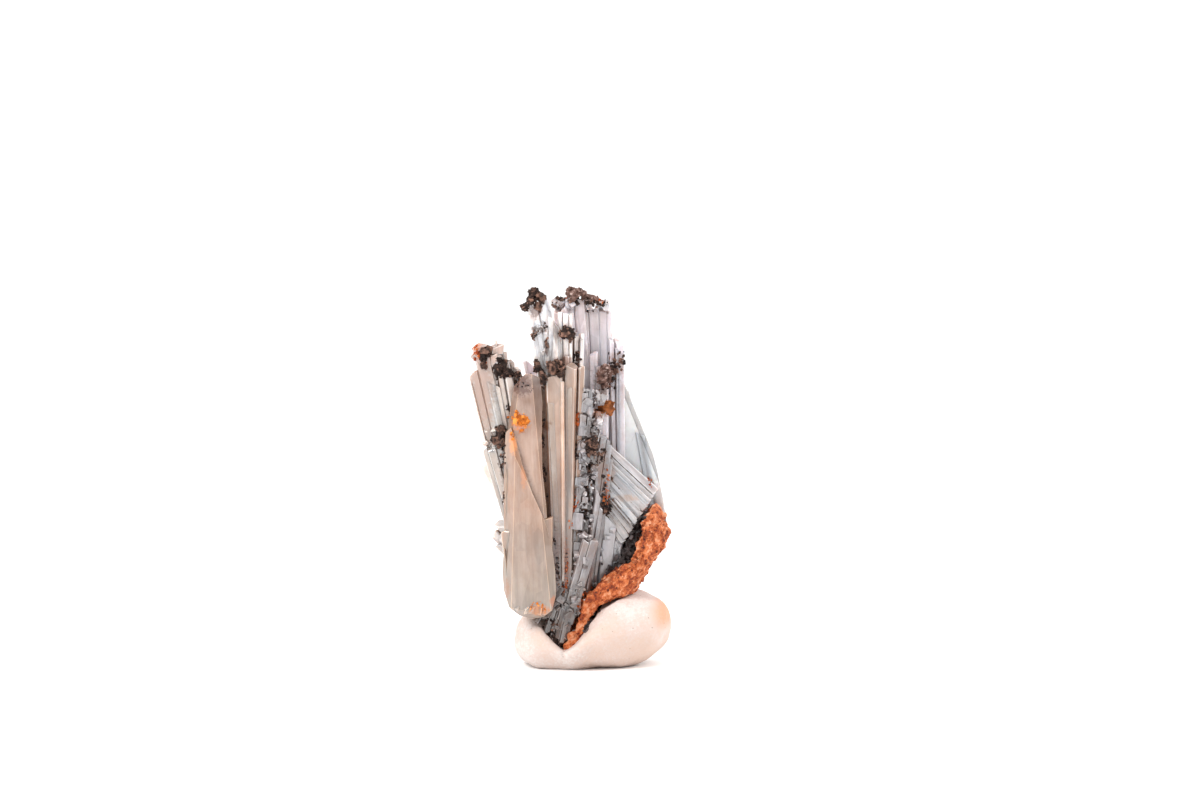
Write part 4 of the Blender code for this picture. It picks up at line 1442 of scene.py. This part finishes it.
LATH_MEMBERS = (
    Blade((-2.9, -3.1, 8.6), (-3.6, -3.6, 40.3), 2.6, 1.4, 4, 1, ridges=1, taper=0.6, sliver=(0.0, 0.1)),
    Blade((-2.1, -3.0, 9.6), (-2.5, -3.4, 39.2), 0.9, 1.5, 12, 1, ridges=0, taper=0.6, shade=0.95),
    Blade(
        (-1.5, -2.6, 8.6), (-1.1, -3.1, 42.0), 1.9, 1.8, -6, 1, ridges=1, taper=0.5,
        sliver=(0.0, 0.1), shade=0.88,
    ),
    Blade((-1.0, -2.4, 9.0), (0.3, -2.8, 41.2), 1.1, 1.5, 16, 1, 0.6, ridges=1, taper=0.6, shade=1.05),
    Blade((-3.1, -3.9, 19.0), (-3.8, -4.3, 36.4), 1.1, 0.6, 6, 1, ridges=0, taper=0.7, shade=1.04),
    Blade((-1.4, -3.5, 23.0), (-1.3, -3.9, 38.4), 0.9, 0.6, -8, 1, ridges=0, taper=0.6, shade=1.02),
    Blade((-2.4, -3.7, 12.0), (-2.4, -4.2, 39.0), 0.5, 0.9, 30, 1, ridges=0, shade=1.3),
    Blade((-3.5, -2.8, 12.0), (-4.8, -3.2, 38.6), 1.2, 1.3, -22, 1, 1.0, 0.5, ridges=0, taper=1.3, shade=0.8),
    Blade((-3.4, -3.0, 9.6), (-4.7, -2.6, 40.2), 1.7, 0.9, 0, 1, ridges=0, taper=1.1, shade=0.86),
    Chips((-1.6, -3.7, 36.8), (-1.4, -3.7, 34.9), (0.35, 0.2), 16, (0.2, 0.45), 0.9),
)
GLASSY_MEMBERS = (
    # a backing blade behind the columns, toned dark so that the gaps between them show painted shade
    Blade((-1.6, -0.4, 9.5), (-1.7, -1.0, 40.0), 5.6, 1.2, ridges=0, taper=0.45, shade=0.62),
    Chips((1.5, -2.7, 37.6), (1.7, -3.1, 31.0), (1.3, 0.6), 46, (0.35, 1.1), 1.15),
    Chips((2.3, -2.8, 31.0), (1.5, -2.8, 19.0), (0.5, 0.3), 26, (0.3, 0.8)),
    Chips((0.8, -3.3, 31.0), (0.0, -3.3, 20.0), (0.9, 0.2), 44, (0.25, 0.75), 0.92),
    Chips((0.9, -3.4, 19.0), (-1.0, -3.6, 9.0), (1.0, 0.4), 60, (0.3, 1.0), 1.05),
    Chips((-1.4, -3.5, 9.4), (-3.3, -3.5, 3.4), (1.5, 0.6), 90, (0.3, 1.1), 0.85),
    Blade((-1.2, -1.8, 8.6), (1.1, -2.3, 37.6), 1.5, 1.2, 12, 1, ridges=0, shade=0.85),
    Column((-1.2, -2.1, 8.6), (1.2, -2.7, 38.2), 1.9, 1.7, 12, 1.3, 0.86),
    Column((-0.6, -1.4, 8.6), (2.4, -1.9, 34.8), 1.8, 1.6, -14, 2.8, 0.93),
    Blade((0.4, -0.9, 8.6), (3.3, -1.4, 32.0), 1.7, 1.6, 30, 2, 2.4, 0.5, shade=0.85),
    Blade((1.2, 0.0, 9.0), (4.0, -0.5, 30.2), 1.3, 1.8, 12, 2, 2.0, 0.8, shade=0.95),
    Blade((-1.9, -3.1, 6.2), (1.6, -3.3, 18.2), 2.5, 1.7, 16, 2, 1.8, 0.5, shade=1.08),
    Blade((0.4, -1.9, 9.0), (2.8, -2.3, 24.5), 1.6, 1.4, 34, 2, 2.4, 0.7),
    Blade((-2.6, -3.0, 11.0), (-5.4, -3.7, 6.0), 1.5, 1.7, -10, 2, 1.0, -0.3, ridges=1),
    Blade((-2.2, -3.0, 11.0), (-4.5, -3.8, 4.2), 1.6, 1.7, 14, 2, 1.0, 0.2, ridges=1),
    Blade((-1.7, -2.7, 11.0), (-3.6, -3.6, 2.9), 1.6, 1.9, -16, 2, 1.0, 0.3, ridges=1),
    Blade((-1.0, -2.4, 11.0), (-2.7, -3.4, 2.8), 1.5, 2.0, 22, 2, 1.0, -0.3, ridges=1),
    Blade((-0.4, -2.6, 11.0), (-0.7, -2.9, 6.6), 1.6, 1.5, 6, 2, 1.4, 0.4),
    Blade((-1.8, -0.6, 11.0), (-4.4, -0.4, 6.0), 2.0, 2.2, 70, 2, 1.4, 0.2),
    Blade((-1.2, 0.8, 12.0), (-3.0, 1.4, 5.0), 2.2, 2.2, 96, 2, 1.4, 0.2),
    Blade((-1.4, 2.4, 14.0), (-3.8, 3.4, 8.2), 2.2, 2.0, 130, 2, 1.4, 0.3),
)
GREY_MEMBERS = (
    Chips((2.1, -0.8, 10.8), (4.8, -0.5, 12.6), (0.9, 0.4), 40, (0.2, 0.6), 1.3),
    Chips((3.2, -0.5, 18.5), (2.6, -0.7, 12.0), (1.6, 0.3), 8, (0.6, 1.4)),
    Blade((2.6, 0.6, 9.6), (3.4, 0.2, 20.6), 3.6, 2.2, 6, 2, 1.6, 0.5, ridges=1),
    Blade((4.3, 1.4, 11.0), (4.7, 0.8, 18.2), 3.0, 2.0, -14, 2, 1.4, 0.7, ridges=1),
    Blade((0.4, 0.8, 8.4), (1.4, 0.2, 21.5), 2.6, 2.6, 24, 2, 2.0, ridges=1),
)
REAR_MEMBERS = (
    Chips((-3.0, 2.6, 49.0), (3.4, 3.9, 48.7), (0.8, 0.9), 70, (0.5, 1.4), 0.95),
    Blade((1.6, 2.2, 11.0), (-2.7, 2.1, 48.9), 1.9, 1.8, -12, 2, 1.4, -0.2),
    Blade((2.4, 2.8, 11.0), (-0.7, 3.3, 50.2), 2.8, 2.0, 6, 2, 0.9, 0.1),
    Blade((3.2, 3.1, 11.4), (1.5, 3.8, 49.0), 2.6, 2.0, -4, 2, 0.8, -0.1),
    Blade((3.9, 3.1, 11.8), (3.2, 4.1, 48.9), 2.2, 2.0, 14, 2, 0.8, 0.1),
    Blade((5.2, 3.0, 12.6), (4.8, 3.9, 44.8), 1.9, 2.2, 20, 2, 1.6, 0.2, shade=1.12),
    Blade((2.6, 1.2, 11.0), (2.5, 1.4, 42.6), 2.9, 1.7, 4, 2, 2.6, shade=1.05),
    Blade((0.2, 2.4, 11.0), (-6.9, 2.4, 41.4), 1.7, 1.7, -30, 2, 1.4, -0.5, shade=1.1),
    Blade((0.2, 3.1, 8.6), (-4.9, 4.6, 37.0), 2.2, 1.8, 200, 2, 2.0, 0.3),
    Blade((1.5, 3.8, 8.8), (-1.8, 5.7, 42.4), 2.5, 1.8, 188, 2, 1.6, -0.5),
    Blade((2.9, 4.2, 9.2), (1.4, 6.2, 45.4), 2.6, 1.6, 174, 2, 1.4, 0.3),
    Blade((4.4, 4.5, 12.6), (4.0, 6.4, 39.4), 2.2, 1.7, 164, 2, 1.8, 0.5),
    Blade((5.6, 4.6, 13.6), (6.4, 6.6, 32.6), 2.4, 1.6, 156, 2, 2.0, 0.4),
    Blade((1.1, 4.0, 8.8), (-4.4, 7.0, 29.0), 2.2, 1.6, 206, 2, 2.0, -0.5),
    Blade((2.6, 4.8, 9.2), (0.6, 8.0, 33.0), 3.0, 1.5, 184, 2, 2.4, 0.5),
)
LEFT_MEMBERS = (
    Chips((-13.2, -3.2, 42.4), (-11.0, -3.2, 37.4), (0.9, 0.4), 16, (0.3, 0.9), 0.95),
    Chips((-11.3, -3.4, 32.4), (-11.9, -3.3, 29.2), (0.8, 0.4), 18, (0.3, 1.0), 0.95),
    Column((-11.6, -2.9, 38.5), (-11.2, -3.2, 44.2), 1.7, 1.4, 0, 1.8),
    Blade((-7.5, -2.8, 16.0), (-13.6, -3.2, 44.3), 2.2, 1.2, -8, 1, 1.0, -0.3, ridges=1, shade=0.72),
    Blade((-8.4, -2.4, 16.0), (-14.2, -2.6, 40.3), 1.5, 1.4, -24, 1, 1.0, -0.5, ridges=1, shade=0.7),
    Blade((-6.9, -2.8, 16.0), (-11.9, -3.2, 39.4), 2.0, 1.2, 4, 1, 0.8, 0.4, ridges=1, shade=1.02),
    Blade((-6.2, -2.6, 16.0), (-10.0, -3.0, 39.8), 1.9, 1.2, 10, 2, 0.8, 0.3, Tip.SQUARE),
    Blade((-7.4, -2.2, 16.0), (-12.7, -2.2, 42.2), 1.3, 1.5, 16, 2, 0.8, 0.6, ridges=1, shade=1.1),
    Blade((-7.0, -2.0, 16.0), (-11.7, -1.9, 43.8), 1.3, 1.4, -12, 2, 0.8, 0.2, ridges=1),
    Blade((-6.8, -2.2, 16.0), (-10.6, -2.1, 43.7), 1.5, 1.3, 10, 2, 0.8, -0.2, ridges=1, shade=1.1),
    Blade((-6.6, -1.8, 16.0), (-9.7, -1.7, 41.9), 1.2, 1.3, 26, 2, 0.8, 0.8, ridges=1),
    Blade((-6.4, -1.6, 16.0), (-8.9, -1.3, 40.7), 1.3, 1.3, -16, 2, 0.8, 0.5, ridges=1, shade=1.08),
    Blade((-7.9, -2.7, 15.0), (-12.2, -3.0, 30.4), 2.0, 1.6, -14, 2, 1.0, -0.4, shade=0.8),
    Blade((-8.2, -2.0, 16.0), (-13.1, -1.9, 35.9), 1.6, 1.5, -34, 2, 1.0, -0.4, shade=0.95),
    Blade((-7.2, -0.8, 16.0), (-12.0, 0.2, 38.4), 1.9, 1.3, 160, 2, 1.2, 0.5, ridges=1),
    Blade((-6.8, -0.4, 16.0), (-10.2, 0.9, 36.8), 1.8, 1.3, 186, 2, 1.4, -0.4, ridges=1),
    Blade((-6.9, -1.5, 10.0), (-7.8, -1.8, 21.0), 3.4, 2.6, 8, 2, 2.0),
)
RIGHT_MEMBERS = (
    # the plate's edge faces are darkened strongly as painted shade
    Plate(OUTLINE_RIGHT, 4.6, 1.5, (
        ((8.2, 3.1, 31.0), (0.55, -0.80, 0.22)),
        ((5.0, 3.1, 37.6), (-0.30, -0.75, 0.59)),
        ((9.4, 4.6, 27.0), (0.60, 0.76, 0.25)),
    ), lean=-18.0, painted_bevel_shade=0.52),
    Blade((10.2, 4.9, 16.4), (5.5, 5.1, 37.6), 2.2, 0.7, 172, 2, 2.0, -0.4, ridges=0),
    Blade((10.9, 3.2, 16.4), (8.0, 3.3, 31.6), 1.6, 0.7, 16, 1, 0.8, 0.9, ridges=0, shade=1.24),
)
REAR_LEFT_MEMBERS = (
    Blade((-5.6, 1.0, 13.0), (-12.8, 2.9, 27.6), 2.0, 1.5, -20, 2, 0.9, -0.4, ridges=1, shade=1.15),
    Blade((-5.2, 1.6, 12.0), (-11.6, 2.4, 19.0), 2.6, 2.0, -36, 2, 1.0, 0.2, ridges=1),
    Blade((-5.0, 0.8, 11.0), (-11.4, 0.6, 17.4), 2.0, 1.8, -14, 2, 1.0, 0.4, shade=0.9),
    Blade((-3.6, 1.9, 9.4), (-9.4, 4.6, 24.6), 2.6, 1.5, 214, 2, 1.4, 0.4, ridges=1),
    Blade((-3.1, 1.6, 9.4), (-7.4, 5.6, 17.8), 2.4, 1.6, 200, 2, 1.4, -0.4, ridges=1),
)


def fan_members(count: int = 17) -> tuple[Blade, ...]:
    """Lays out the striated fan, laths side by side from the matrix up to the columns.

    Args:
        count: How many laths.

    Returns:
        The laths.
    """
    rng = Random(5)
    start_top, start_foot = Vector((10.2, 0.9, 23.6)), Vector((5.7, 0.3, 16.4))
    end_top, end_foot = Vector((3.3, 0.4, 30.0)), Vector((3.3, 0.6, 20.2))
    laths = []
    for index in range(count):
        share = index / (count - 1)
        start, end = start_top.lerp(start_foot, share), end_top.lerp(end_foot, share)
        start.y += rng.uniform(-0.14, 0.12)
        end += (end - start).normalized() * rng.uniform(-0.4, 0.4)
        laths.append(Blade(
            tuple(start), tuple(end), rng.uniform(0.75, 1.15), 1.7, rng.uniform(-9, 9), 1, 0.8,
            ridges=1, taper=1.0, shade=rng.uniform(0.76, 1.26),
        ))
    return tuple(laths)


TIP_MEMBERS = (Chips((-5.5, -3.0, 50.9), (-5.8, -2.9, 48.2), (0.6, 0.5), 30, (0.3, 0.95)),)
DRUSE_MEMBERS = (
    Chips((9.3, 0.5, 20.7), (7.2, 0.0, 15.4), (1.3, 1.4), 130, (0.35, 1.1)),
    Chips((7.0, -0.4, 15.4), (5.2, -0.6, 11.6), (1.9, 0.9), 150, (0.35, 1.1)),
)

UMBER = CrustFinish("umber_crust", Grit.UMBER)
OCHRE = CrustFinish("ochre_crust", Grit.OCHRE)
ORANGE = CrustFinish("orange_ochre", Grit.ORANGE)
RUST = CrustFinish("rust_grains", Grit.RUST)
GOETHITE = CrustFinish("goethite_druse", Grit.GOETHITE, 0.4)
WEATHERED = CrustFinish("weathered_umber", Grit.WEATHERED)

GROUPS = (
    CrystalGroup("front_blade", "barite_front_blade", "honey_barite", HONEY, FRONT_MEMBERS, 21),
    CrystalGroup("centre_blades", "barite_core", "grey_barite", SILKY, CENTRE_MEMBERS, 22),
    CrystalGroup("honey_laths", "barite_core", "grey_barite", LATH_HONEY, LATH_MEMBERS, 23),
    CrystalGroup("glassy_columns", "barite_core", "grey_barite", GLASSY, GLASSY_MEMBERS, 24),
    CrystalGroup("grey_mass", "barite_core", "grey_barite", GREY, GREY_MEMBERS, 25),
    CrystalGroup("rear_blades", "barite_core", "grey_barite", MAUVE, REAR_MEMBERS, 26),
    CrystalGroup("left_spray", "barite_left_spray", "pale_barite", PALE, LEFT_MEMBERS, 27),
    CrystalGroup("right_blade", "barite_right_blade", "clear_barite", CLEAR, RIGHT_MEMBERS, 28),
    CrystalGroup("striated_fan", "barite_striated_fan", "silky_barite", STRIATED, fan_members(), 29),
    CrystalGroup("rear_left_blades", "barite_rear_left_blades", "pale_barite", PALE, REAR_LEFT_MEMBERS, 30),
    CrystalGroup("pocket_druse", "goethite_pocket", "goethite", GOETHITE, DRUSE_MEMBERS, 31),
    CrystalGroup("centre_tip_grains", "crust_centre_tip", "umber_crust", UMBER, TIP_MEMBERS, 32),
)

UMBER_CRUSTS = (
    "crust_centre_tip", "crust_blade_knob", "crust_blade_cluster", "crust_centre_seam",
    "crust_left_tips", "crust_left_edge", "crust_left_middle", "crust_core_crevice",
)
WEATHERED_CRUSTS = ("crust_rear_top", "crust_rear_middle")

UMBER_SEAMS = (
    Seam(((-5.0, 39.4), (-4.9, 34.5), (-4.9, 29.9)), 0.16, 40),
    Seam(((-4.9, 27.9), (-4.7, 25.2)), 0.22, 44),
    Seam(((-4.4, 24.6), (-3.9, 20.9), (-3.4, 17.1), (-2.8, 10.6)), 0.16, 80, (0.1, 0.32)),
    Seam(((-10.0, 24.1), (-10.0, 22.5)), 0.16, 14),
    Seam(((-9.9, 35.5), (-9.3, 34.7)), 0.3, 16),
    Seam(((-8.2, 38.2), (-7.3, 39.0), (-6.5, 37.9)), 0.4, 30, (0.1, 0.3)),
    Seam(((-0.5, 30.6), (-0.4, 28.2)), 0.2, 16),
    Seam(((-1.4, 42.2), (-0.2, 41.6)), 0.3, 34, (0.2, 0.55)),
    Seam(((0.7, 36.7), (1.3, 30.6), (1.1, 25.2), (0.4, 19.8)), 0.22, 80, tries=8),
    Seam(((1.1, 36.6), (1.6, 34.7), (0.8, 32.6), (1.9, 30.6), (2.7, 28.6), (1.4, 27.2)), 0.4, 70, tries=8),
    Seam(((-0.4, 36.7), (-0.7, 30.6), (-1.2, 22.5), (-1.9, 14.4), (-2.6, 8.0)), 0.12, 50, (0.1, 0.25), 8),
    Seam(((3.1, 22.8), (3.5, 20.9)), 0.3, 60, (0.2, 0.6)),
    Seam(((3.4, 30.6), (3.1, 25.2), (3.2, 21.2)), 0.25, 60),
    Seam(((-6.6, 44.6), (-5.4, 45.5), (-4.6, 46.5)), 0.22, 40, (0.12, 0.35)),
    Seam(((-4.5, 44.8), (-4.3, 43.2)), 0.15, 20),
    Seam(((-3.4, 49.0), (-1.6, 50.6), (1.4, 50.2), (3.6, 49.3)), 0.5, 50, (0.2, 0.6)),
    Seam(((2.4, 37.0), (3.4, 38.5), (4.3, 40.2), (5.4, 42.4)), 0.5, 110, (0.2, 0.6)),
    Seam(((-10.2, 30.6), (-9.7, 27.4)), 0.4, 40),
    Seam(((-4.2, 6.6), (-2.9, 3.6)), 0.6, 40),
)
RUST_SEAMS = (
    Seam(((-1.9, 17.7), (-1.8, 14.4), (-2.0, 10.4)), 0.2, 50, (0.1, 0.3)),
    Seam(((-0.4, 34.4), (-0.1, 32.6)), 0.2, 20),
    Seam(((-0.3, 23.1), (-0.8, 21.2), (-1.2, 19.1)), 0.2, 26, (0.1, 0.3)),
    Seam(((3.5, 29.0), (3.5, 25.2), (3.4, 21.8)), 0.22, 40),
    Seam(((9.0, 25.5), (9.7, 24.4)), 0.2, 12),
    Seam(((0.0, 7.4), (0.4, 9.0), (0.8, 10.1)), 0.35, 34),
    Seam(((-14.4, 44.0), (-13.8, 42.8), (-12.6, 41.4)), 0.3, 26),
    Seam(((-3.2, 50.0), (0.4, 50.9), (3.4, 49.9)), 0.3, 30, (0.2, 0.5)),
)
BACK_SEAMS = (
    Seam(((-3.6, 44.0), (-2.4, 38.0)), 0.25, 40),
    Seam(((1.9, 40.5), (2.3, 34.0)), 0.2, 30),
    Seam(((-6.2, 30.0), (-5.0, 24.0), (-4.0, 16.0)), 0.3, 70),
    Seam(((0.5, 33.5), (1.0, 28.0)), 0.3, 30),
    Seam(((-9.6, 38.5), (-9.0, 34.0)), 0.3, 30),
    Seam(((-4.5, 12.4), (-1.0, 12.4), (3.5, 13.4)), 0.5, 150, (0.2, 0.7)),
)
# dark grains set along the shadowed gap between the band and the putty: painted shadow
CONTACT_SHADOW_SEAMS = (Seam(((0.5, 4.6), (1.5, 6.5), (2.9, 8.2)), 0.12, 120, (0.2, 0.5), 1),)
ORANGE_SEAMS = (
    Seam(((-8.5, 34.0), (-7.4, 32.9)), 0.42, 110, (0.15, 0.55), 1),
    Seam(((-9.0, 32.2), (-8.9, 30.8)), 0.15, 14, (0.1, 0.3), 1),
    Seam(((-6.8, 8.2), (-5.4, 8.6), (-4.6, 7.7)), 0.25, 26, (0.1, 0.32), 1),
)


# ------------------------------------------------------------------ stage


@dataclass
class Studio:
    """A white table under a soft tent, bright above and behind, and the camera."""

    table_reach: float = 3.0  # metres
    front: float = 0.42  # brightness of the tent towards the camera
    behind: float = 1.12
    above: float = 1.65
    lamps: tuple[tuple[str, Triple, float, float], ...] = (  # name, place and side in metres, watts
        ("key", (-0.34, -0.34, 0.36), 0.22, 2.4),
        ("rim_light", (0.40, 0.05, 0.20), 0.16, 0.9),
    )
    aim: Triple = (0.0, 0.0, 0.025)  # metres; where the lamps point

    def build(self) -> None:
        """Builds the table, the light and the camera."""
        self._table()
        self._sky()
        for name, place, side, power in self.lamps:
            light = bpy.data.lights.new(name, "AREA")
            light.size, light.energy = side, power
            lamp = place_object(name, light)
            lamp.location = place
            lamp.rotation_euler = (Vector(self.aim) - Vector(place)).to_track_quat("-Z", "Y").to_euler()
        self._camera()

    def _table(self) -> None:
        """Lays the table as a large sheet."""
        shape = bmesh.new()
        bmesh.ops.create_grid(shape, x_segments=1, y_segments=1, size=self.table_reach)
        table = place_object("table", into_mesh("table", shape))
        table.data.materials.append(TableFinish().material())

    def _sky(self) -> None:
        """Lights the scene softly from all round."""
        bpy.context.scene.world = bpy.data.worlds.new("studio")
        tree = ShaderTree(bpy.context.scene.world)
        way = tree.add("TexCoord", out="Generated")
        depth, height = (tree.add("SeparateXYZ", {0: way}, axis) for axis in "YZ")
        back = tree.add("MapRange", {"Value": depth, 1: 0.0, 2: 0.7, 3: self.front, 4: self.behind})
        roof = tree.add("MapRange", {"Value": height, 1: 0.3, 2: 0.8, 3: self.front, 4: self.above})
        glow = tree.add("Math", {0: back, 1: roof}, operation="MAXIMUM")
        tree.add("OutputWorld", {"Surface": tree.add("Background", {"Color": "#ffffff", "Strength": glow})})

    def _camera(self) -> None:
        """Sets the camera in front, a little above level."""
        lens = bpy.data.cameras.new("camera")
        lens.lens, lens.sensor_width, lens.clip_start = LENS, SENSOR, 0.01
        camera = place_object("camera", lens)
        away = Vector((0.0, -math.cos(VIEW_TILT), math.sin(VIEW_TILT))) * VIEW_DISTANCE
        camera.location = (VIEW_CENTRE + away) * MM
        camera.rotation_euler = (-away).to_track_quat("-Z", "Y").to_euler()
        bpy.context.scene.camera = camera
        bpy.context.scene.view_settings.view_transform = "Standard"


def surface_tree(pieces: Sequence[Object]) -> BVHTree:
    """Gathers the pieces' surfaces, in millimetres, to set grains down on.

    Args:
        pieces: The pieces.

    Returns:
        A search tree over all their faces.
    """
    points: list[Vector] = []
    faces: list[tuple[int, ...]] = []
    for piece in pieces:
        first = len(points)
        points.extend(vertex.co / MM for vertex in piece.data.vertices)
        faces.extend(tuple(first + index for index in face.vertices) for face in piece.data.polygons)
    return BVHTree.FromPolygons(points, faces)


def main() -> None:
    """Builds the specimen and its stage."""
    logging.basicConfig(level=logging.INFO, format="%(name)s: %(message)s")
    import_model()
    ground = surface_tree([group.build() for group in GROUPS])
    bed = surface_tree([LimoniteRind().build(), PuttyLump().build()])
    for index, node in enumerate(UMBER_CRUSTS):
        Crust(node, UMBER, seed=40 + index).build()
    for index, node in enumerate(WEATHERED_CRUSTS):
        Crust(node, WEATHERED, shrink=0.5, seed=50 + index).build()
    Crust("crust_ochre_knob", OCHRE, "ochre_crust", 22, 200, seed=60).build()
    Crust("goethite_pocket", GOETHITE, "goethite", 30, 300, 0.2, seed=61).build()
    SeamGrains("umber_seams", "umber_crust", UMBER, UMBER_SEAMS, 71).build(ground)
    SeamGrains("rust_seams", "ochre_crust", RUST, RUST_SEAMS, 72).build(ground)
    SeamGrains("orange_seams", "ochre_crust", ORANGE, ORANGE_SEAMS, 73).build(ground)
    SeamGrains("back_seams", "umber_crust", UMBER, BACK_SEAMS, 75, behind=True).build(ground)
    # painted shadow: dark grains in the gap between the band and the putty
    SeamGrains("contact_grains", "goethite", GOETHITE, CONTACT_SHADOW_SEAMS, 74).build(bed)
    Studio().build()


if __name__ == "__main__":
    main()
